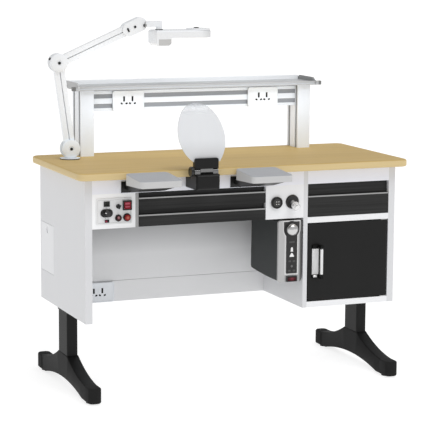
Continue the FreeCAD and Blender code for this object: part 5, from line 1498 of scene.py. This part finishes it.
@dataclass
class ControlPanel(Assembly):
    """White control box with its grey plate, switches and readout."""

    line: float = 0.0009
    margin: float = 0.0055
    window_x: Span = (-0.504, -0.484)
    window_z: Span = (0.654, 0.671)
    window_proud: float = 0.0038
    glass_proud: float = 0.0034
    lamp_x: Span = (-0.5007, -0.486)
    lamp_z: Span = (0.601, 0.6105)
    lamp_proud: float = 0.003
    lens_y: Span = (-0.0046, -0.002)
    lens_margin: Span = (0.001, 0.0015)
    rocker_marks: tuple[Span, ...] = ((0.6488, 0.6535), (0.6590, 0.6645))
    rocker_x: Span = (-0.4320, -0.4165)
    rocker_core: Point = (-0.4235, -0.187, 0.664)
    start_core: Point = (-0.424, -0.190, 0.6155)
    stop_core: Point = (-0.4558, -0.190, 0.6168)
    mark_x: Span = (0.0163, 0.0187)
    mark_y: Span = (-0.0034, -0.0020)
    mark_half: float = 0.0003
    marks: int = 9
    mark_step: float = 32.5
    mark_start: float = 40.0
    pointer_x: Span = (-0.0106, -0.0048)
    pointer_y: Span = (-0.0006, 0.0004)
    pointer_half: float = 0.0010
    pointer_turn: float = 18.0

    def __post_init__(self) -> None:
        """Measure the plate and the speed knob."""
        self.plate = Box.of("control_plate")
        self.face = self.plate.low.y
        self.knob = Box.of("speed_knob")

    def dress(self) -> None:
        """Give plate, fittings and switch caps their finishes."""
        dress_nodes(WHITE_CASE, "control_box")
        plate = Coat("grey_control_plate", grey(0.81), (0.78, 0.79, 0.80), (0.28, 0.36), 800.0,
                     inlays=(self._rule(),))
        dress_nodes(plate, "control_plate")
        dress_nodes(BLACK_PLASTIC, "control_fittings", "mode_pointer")
        dress_nodes(GLOSS_BLACK, "speed_knob")
        marks = Inlay(tuple(Window(x=self.rocker_x, z=z) for z in self.rocker_marks), (0.46, 0.085, 0.125))
        rocker = Lens("red_rocker_cap", (0.22, 0.008, 0.016), (0.30, 0.02, 0.035), self.rocker_core,
                      reach=0.009, inlays=(marks,))
        start = Lens("red_start_cap", (0.26, 0.008, 0.010), (0.62, 0.20, 0.13), self.start_core,
                     reach=0.007)
        stop = Lens("dark_red_stop_cap", (0.040, 0.004, 0.007), (0.60, 0.30, 0.31), self.stop_core,
                    reach=0.0058)
        dress_nodes(rocker, "power_rocker")
        dress_nodes(start, "start_button")
        dress_nodes(stop, "stop_button")

    def _rule(self) -> Inlay:
        """The thin line round the plate, a margin inside its edge."""
        x = around(self.plate.middle.x, self.plate.half.x - self.margin)
        z = around(self.plate.middle.z, self.plate.half.z - self.margin)
        uprights = [Window(x=around(edge, self.line / 2), z=z) for edge in x]
        levels = [Window(x=x, z=around(edge, self.line / 2)) for edge in z]
        return Inlay((*uprights, *levels), grey(0.42))

    def build(self) -> None:
        """Model the readout, the state lamp, the dial's marks and the speed knob's pointer line."""
        out = (self.face - self.window_proud, self.face)
        readout = Piece.block("readout", self.window_x, out, self.window_z)
        readout.inset(Way.FORWARD, rim=0.0014, push=(0, 0.0008, 0))
        readout.bevel(width=0.0005)
        readout.dress(BLACK_PLASTIC, "bench", "black_plastic")
        glass = self.face - self.glass_proud
        ahead = Way.FORWARD.faces
        readout.paint(READOUT, lambda centre, normal: ahead(centre, normal) and centre.y > glass)
        self._state_lamp()
        self._dial_marks()
        self._pointer()

    def _state_lamp(self) -> None:
        """Model the small lamp and the red lens on its left half."""
        (left, right), (low, high) = self.lamp_x, self.lamp_z
        lamp = Piece.block("state_lamp", self.lamp_x, (self.face - self.lamp_proud, self.face), self.lamp_z)
        lamp.extrude(Way.FORWARD, push=(0, -0.001, 0), taper=(0.8, 1, 0.8))
        lamp.bevel(width=0.0006)
        lamp.dress(BLACK_PLASTIC, "bench", "black_plastic")
        side, end = self.lens_margin
        lens = Piece.block("state_lens", (left + side, (left + right) / 2), moved(self.lens_y, self.face),
                           (low + end, high - end))
        lens.extrude(Way.FORWARD, push=(0, -0.0006, 0), taper=(0.75, 1, 0.75))
        lens.bevel(width=0.0004)
        core = (left, self.face, low)
        glow = Lens("red_state_lamp", (0.28, 0.008, 0.04), (0.45, 0.08, 0.14), core, reach=0.01)
        lens.dress(glow, "bench", "red_lens")

    def _dial_marks(self) -> None:
        """Model one mark at the origin, copy it round the dial and join the marks."""
        dial = Piece.block("dial_marks", self.mark_x, self.mark_y, around(0.0, self.mark_half))
        dial.bevel(width=0.0001, segments=1)
        copies = []
        for index in range(1, self.marks):
            turn = Matrix.Rotation(math.radians(index * self.mark_step), 4, "Y")
            copies.append(dial.copy(f"dial_mark_{index}", turn=turn))
        dial.join(*copies)
        dial.rotate(self.mark_start, Way.BACK, ORIGIN)
        dial.transform(Matrix.Translation((self.knob.middle.x, self.face, self.knob.middle.z)))
        dial.dress(FADED, "bench", "white_plastic")

    def _pointer(self) -> None:
        """Model the pale line on the speed knob's face."""
        x, z, face = self.knob.middle.x, self.knob.middle.z, self.knob.low.y
        pointer = Piece.block("speed_knob_line", moved(self.pointer_x, x), moved(self.pointer_y, face),
                              around(z, self.pointer_half))
        pointer.bevel(width=0.0003)
        pointer.rotate(self.pointer_turn, Way.BACK, (x, face, z))
        pointer.dress(LIT, "speed_knob", "white_plastic")


@dataclass
class ServicePanel(Assembly):
    """Pedal socket and air coupler on the white panel."""

    pedal: Span = (0.115, 0.637)
    trim: tuple[Span, ...] = (
        (0.0202, 0.0), (0.0202, 0.0078), (0.0187, 0.0092), (0.0146, 0.0092), (0.0140, 0.0075),
    )
    insert: tuple[Span, ...] = ((0.0138, 0.0), (0.0138, 0.0026), (0.0128, 0.0032), (0.0060, 0.0032))
    insert_out: float = 0.0062
    pin: tuple[Span, ...] = ((0.0019, 0.0), (0.0019, 0.003), (0.0012, 0.0038))
    pins: int = 4
    pin_off: float = 0.0042
    pin_out: float = 0.0092
    stem_y: Span = (-0.24, -0.1833)

    def dress(self) -> None:
        """Give the sockets their black and the coupler its chrome."""
        stem = Inlay((Window(y=self.stem_y),), grey(0.80), roughness=0.26, metallic=0.7)
        rings = Coat("black_socket_rings", grey(0.014), grey(0.018), (0.26, 0.36), 800.0, inlays=(stem,))
        dress_nodes(rings, "service_sockets")
        dress_nodes(SATIN_CHROME, "air_sleeve")

    def build(self) -> None:
        """Model the pedal socket's ring trim, and its grey insert with the pins."""
        (x, z), face = self.pedal, Box.of("service_panel").low.y
        trim = Piece.turned("pedal_ring_trim", self.trim, (x, face, z), Way.FORWARD, sides=64)
        trim.dress(BLACK_PLASTIC, "bench", "black_plastic")
        insert = Piece.turned("pedal_insert", self.insert, (x, face - self.insert_out, z), Way.FORWARD)
        insert.dress(SOCKET_GREY, "bench", "black_plastic")
        at = (x + self.pin_off, face - self.pin_out, z + self.pin_off)
        pins = [Piece.turned("pedal_pin_1", self.pin, at, Way.FORWARD, sides=16)]
        middle = Vector((x, face, z))
        for index in range(1, self.pins):
            spin = Matrix.Rotation(2 * math.pi * index / self.pins, 4, "Y")
            pins.append(pins[0].copy(f"pedal_pin_{index + 1}", middle - spin @ middle, spin))
        for each in pins:
            each.dress(CHROME, "bench", "bright")


@dataclass
class DriveUnit(Assembly):
    """Drive unit beside the knees: silver bezel, dark face, ball dial, signs and keys."""

    middle: float = 0.1725
    face: float = -0.1825
    dark_y: Span = (-0.20, -0.18005)
    dial_z: float = 0.542
    dial_radius: float = 0.0212
    dial_height: float = 0.0152
    dial_skirt: float = 0.0022
    dial_out: float = 0.0003
    dial_steps: int = 9
    outline: float = 0.0056
    neck_half: float = 0.020
    neck_low: float = 0.390
    head_half: float = 0.027
    head_top: float = 0.5690
    halo: Span = (0.0055, 0.01)
    well: float = 0.0025
    lit_left_x: Span = (0.120, 0.1475)
    shaded_right_x: Span = (0.2035, 0.215)
    cap_core: Point = (0.1725, -0.190, 0.3715)
    sunk: float = 0.0005
    key_right: float = 0.016
    key_low: Point = (-0.001, 0.0, -0.033)
    key_low_right: float = 0.018

    def dress(self) -> None:
        """Give the case, bezel and switches their finishes."""
        dress_nodes(DARK_CASE, "motor_case")
        dark = Inlay((Window(y=self.dark_y),), grey(0.016), roughness=0.3)
        neck = Window(x=around(self.middle, self.neck_half + self.outline),
                      z=(self.neck_low - self.outline, self.dial_z))
        wider, taller = self.halo
        halo = self._head(self.head_half + wider, self.head_top + taller)
        bright = Inlay((neck, *halo), grey(0.70), roughness=0.25, metallic=0.3)
        well = Inlay(self._head(self.head_half + self.well, self.head_top), grey(0.022), roughness=0.3)
        # Painted light and shade: a paler strip on the bezel's left, a darker strip on its right.
        left = Inlay((Window(x=self.lit_left_x),), grey(0.47), roughness=0.3, metallic=0.3)
        right = Inlay((Window(x=self.shaded_right_x),), grey(0.10), roughness=0.3, metallic=0.3)
        bezel = Coat("silver_unit_bezel", (0.40, 0.405, 0.41), (0.36, 0.365, 0.37), (0.24, 0.34), 2500.0,
                     metallic=0.3, inlays=(left, right, bright, well, dark))
        dress_nodes(bezel, "motor_bezel")
        dress_nodes(FADED, "motor_button")
        cap = Lens("red_unit_cap", (0.05, 0.004, 0.007), (0.20, 0.030, 0.045), self.cap_core,
                   reach=0.010)
        dress_nodes(cap, "motor_rocker")

    def _head(self, half: float, top: float) -> tuple[Place, ...]:
        """The round end of the face about the dial, squared off above it.

        Args:
            half: Half its width.
            top: The level of its top.

        Returns:
            The places that make it up.
        """
        x, z = self.middle, self.dial_z
        return Disc(x, z, half), Window(x=around(x, half), z=(z, top))

    def build(self) -> None:
        """Model the ball dial, the lit signs and the small keys."""
        r, skirt = self.dial_radius, self.dial_skirt
        rings = [(r, 0.0), (r, skirt)]
        for index in range(1, self.dial_steps):
            angle = math.pi / 2 * index / self.dial_steps
            rings.append((r * math.cos(angle), skirt + self.dial_height * math.sin(angle)))
        seat = (self.middle, self.face - self.dial_out, self.dial_z)
        ball = Piece.turned("unit_ball_dial", rings, seat, Way.FORWARD, sides=64)
        ball.dress(BALL_CHROME, "motor_dial", "silver_plastic").replaces("motor_dial")
        self._signs()
        self._keys()

    def _sign(self, name: str, x: Span, z: Span, proud: float) -> Piece:
        """Add a flat block on the unit's face.

        Args:
            name: The piece's name.
            x: Its reach from the unit's middle.
            z: Its reach in height.
            proud: How far it stands out.

        Returns:
            The piece.
        """
        return Piece.block(name, moved(x, self.middle), (self.face - proud, self.face + self.sunk), z)

    def _signs(self) -> None:
        """Model the lit figure, the arrow under it and a printed line."""
        figure = self._sign("unit_figure", x=(-0.004, 0.004), z=(0.4685, 0.4765), proud=0.0009)
        figure.extrude(Way.UP, push=(0.0005, 0, 0.004), taper=(0.6, 1, 1))
        figure.extrude(Way.DOWN, push=(0, 0, -0.003), taper=(1.3, 1, 1))
        figure.bevel(width=0.0004)
        figure.dress(LIT, "bench", "white_plastic")
        arrow = self._sign("unit_arrow", x=(-0.008, 0.008), z=(0.4475, 0.4505), proud=0.0009)
        arrow.extrude(Way.UP, push=(0, 0, 0.010), taper=(0.3, 1, 1))
        arrow.bevel(width=0.0004)
        arrow.dress(LIT, "bench", "white_plastic")
        line = self._sign("unit_printed_line", x=(-0.010, 0.010), z=(0.4955, 0.5020), proud=0.0006)
        line.bevel(width=0.0003)
        line.dress(DIM, "bench", "black_plastic")

    def _keys(self) -> None:
        """Model one flat key and copy it to the other three places."""
        key = self._sign("unit_key_left", x=(-0.013, -0.003), z=(0.4295, 0.4355), proud=0.0012)
        key.round_edges(Way.BACK, width=0.0015)
        key.bevel(width=0.0003)
        lower = key.copy("unit_key_low_left", self.key_low)
        right = key.copy("unit_key_right", (self.key_right, 0, 0))
        lower_right = lower.copy("unit_key_low_right", (self.key_low_right, 0, 0))
        for each in (key, right, lower, lower_right):
            each.dress(DIM, "bench", "black_plastic")


@dataclass(frozen=True)
class Strip:
    """A strip light before the shelf that is itself out of sight."""

    name: str
    height: float
    width: float
    power: float


@dataclass
class Studio:
    """Pale floor, soft light and the photograph's camera."""

    place: Point = (-2.4059, -5.8054, 1.5329)
    look: Point = (0.3732, 0.9157, -0.1494)
    roll: float = 0.006
    lens: float = 155.27
    sensor: float = 36.0
    shift: float = -0.0045
    far: float = 300.0
    sky: float = 0.60
    sun: float = 1.0
    sun_turn: Point = (30.0, 0.0, 22.0)
    sun_spread: float = 35.0
    strips: tuple[Strip, ...] = (
        Strip("rail_strip", 0.955, 0.07, 0.42),
        Strip("shelf_strip", 1.065, 0.03, 0.38),
    )
    strip_long: float = 0.90
    strip_at: Span = (-0.01, 0.10)
    strip_turn: Point = (90.0, 0.0, 0.0)
    strip_colour: Colour = (0.90, 0.95, 1.0)
    floor_half: float = 60.0
    floor_tone: float = 0.37
    floor_glow: float = 2.1

    def build(self) -> None:
        """Set up floor, sky, lights and camera."""
        bpy.context.scene.view_settings.view_transform = "Standard"
        self._floor()
        self._sky()
        self._lights()
        self._camera()

    def _floor(self) -> None:
        """Lay a wide pale floor under the bench."""
        Piece.deselect()
        bpy.ops.mesh.primitive_plane_add(size=2 * self.floor_half)
        floor = bpy.context.active_object
        floor.name = "studio_floor"
        tone = grey(self.floor_tone)
        finish = Coat("pale_floor", tone, tone, (0.7, 0.8), 60.0, relief=0.01, gloss=0.1,
                      glow=self.floor_glow)
        floor.data.materials.append(finish.material())

    def _sky(self) -> None:
        """Add an even sky that is white to the camera and dimmer as a light."""
        world = bpy.data.worlds.new("studio_sky")
        world.use_nodes = True
        tree = world.node_tree
        background = tree.nodes["Background"]
        background.inputs["Color"].default_value = (*EVEN, 1.0)
        path = tree.nodes.new("ShaderNodeLightPath")
        level = tree.nodes.new("ShaderNodeMapRange")
        level.inputs["To Min"].default_value = self.sky
        tree.links.new(path.outputs["Is Camera Ray"], level.inputs["Value"])
        tree.links.new(level.outputs[0], background.inputs["Strength"])
        bpy.context.scene.world = world

    @staticmethod
    def _light(name: str, kind: str, place: Point, turn: Point, power: float) -> bpy.types.Object:
        """Add a light.

        Args:
            name: Its name.
            kind: Its kind in Blender.
            place: Where it is.
            turn: Its turn in degrees about the three axes.
            power: Its energy.

        Returns:
            The light.
        """
        bpy.ops.object.light_add(type=kind, location=place, rotation=[math.radians(a) for a in turn])
        light = bpy.context.active_object
        light.name = name
        light.data.energy = power
        return light

    def _lights(self) -> None:
        """Add a soft sun from the front right and two strip lights before the shelf."""
        key = self._light("soft_key", "SUN", ORIGIN, self.sun_turn, self.sun)
        key.data.angle = math.radians(self.sun_spread)
        for strip in self.strips:
            at = (*self.strip_at, strip.height)
            light = self._light(strip.name, "AREA", at, self.strip_turn, strip.power)
            light.data.shape = "RECTANGLE"
            light.data.size = self.strip_long
            light.data.size_y = strip.width
            light.data.color = self.strip_colour
            light.visible_camera = False
            light.visible_glossy = False
            light.visible_transmission = False

    def _camera(self) -> None:
        """Place the camera where the photograph was taken."""
        look = Vector(self.look).normalized()
        side = Vector((look.y, -look.x, 0)).normalized()
        up = side.cross(look)
        right = side * math.cos(self.roll) + up * math.sin(self.roll)
        above = up * math.cos(self.roll) - side * math.sin(self.roll)
        turn = Matrix((right, above, -look)).transposed().to_4x4()
        data = bpy.data.cameras.new("photo_camera")
        data.lens = self.lens
        data.sensor_width = self.sensor
        data.shift_x = self.shift
        data.clip_end = self.far
        camera = bpy.data.objects.new("photo_camera", data)
        camera.matrix_world = Matrix.Translation(self.place) @ turn
        bpy.context.scene.collection.objects.link(camera)
        bpy.context.scene.camera = camera


def main() -> None:
    """Dress and build every assembly in order, then the studio."""
    logging.basicConfig(level=logging.INFO, format="%(message)s")
    assemblies: list[Assembly] = [
        Worktop(),
        Drawers(),
        Armrests(),
        Legs(),
        Outlets(),
        OverShelf(),
        Lamp(),
        ShieldHolder(),
        ControlPanel(),
        ServicePanel(),
        DriveUnit(),
    ]
    for assembly in assemblies:
        LOG.info("building %s", type(assembly).__name__)
        assembly.dress()
        assembly.build()
    Studio().build()


if __name__ == "__main__":
    main()
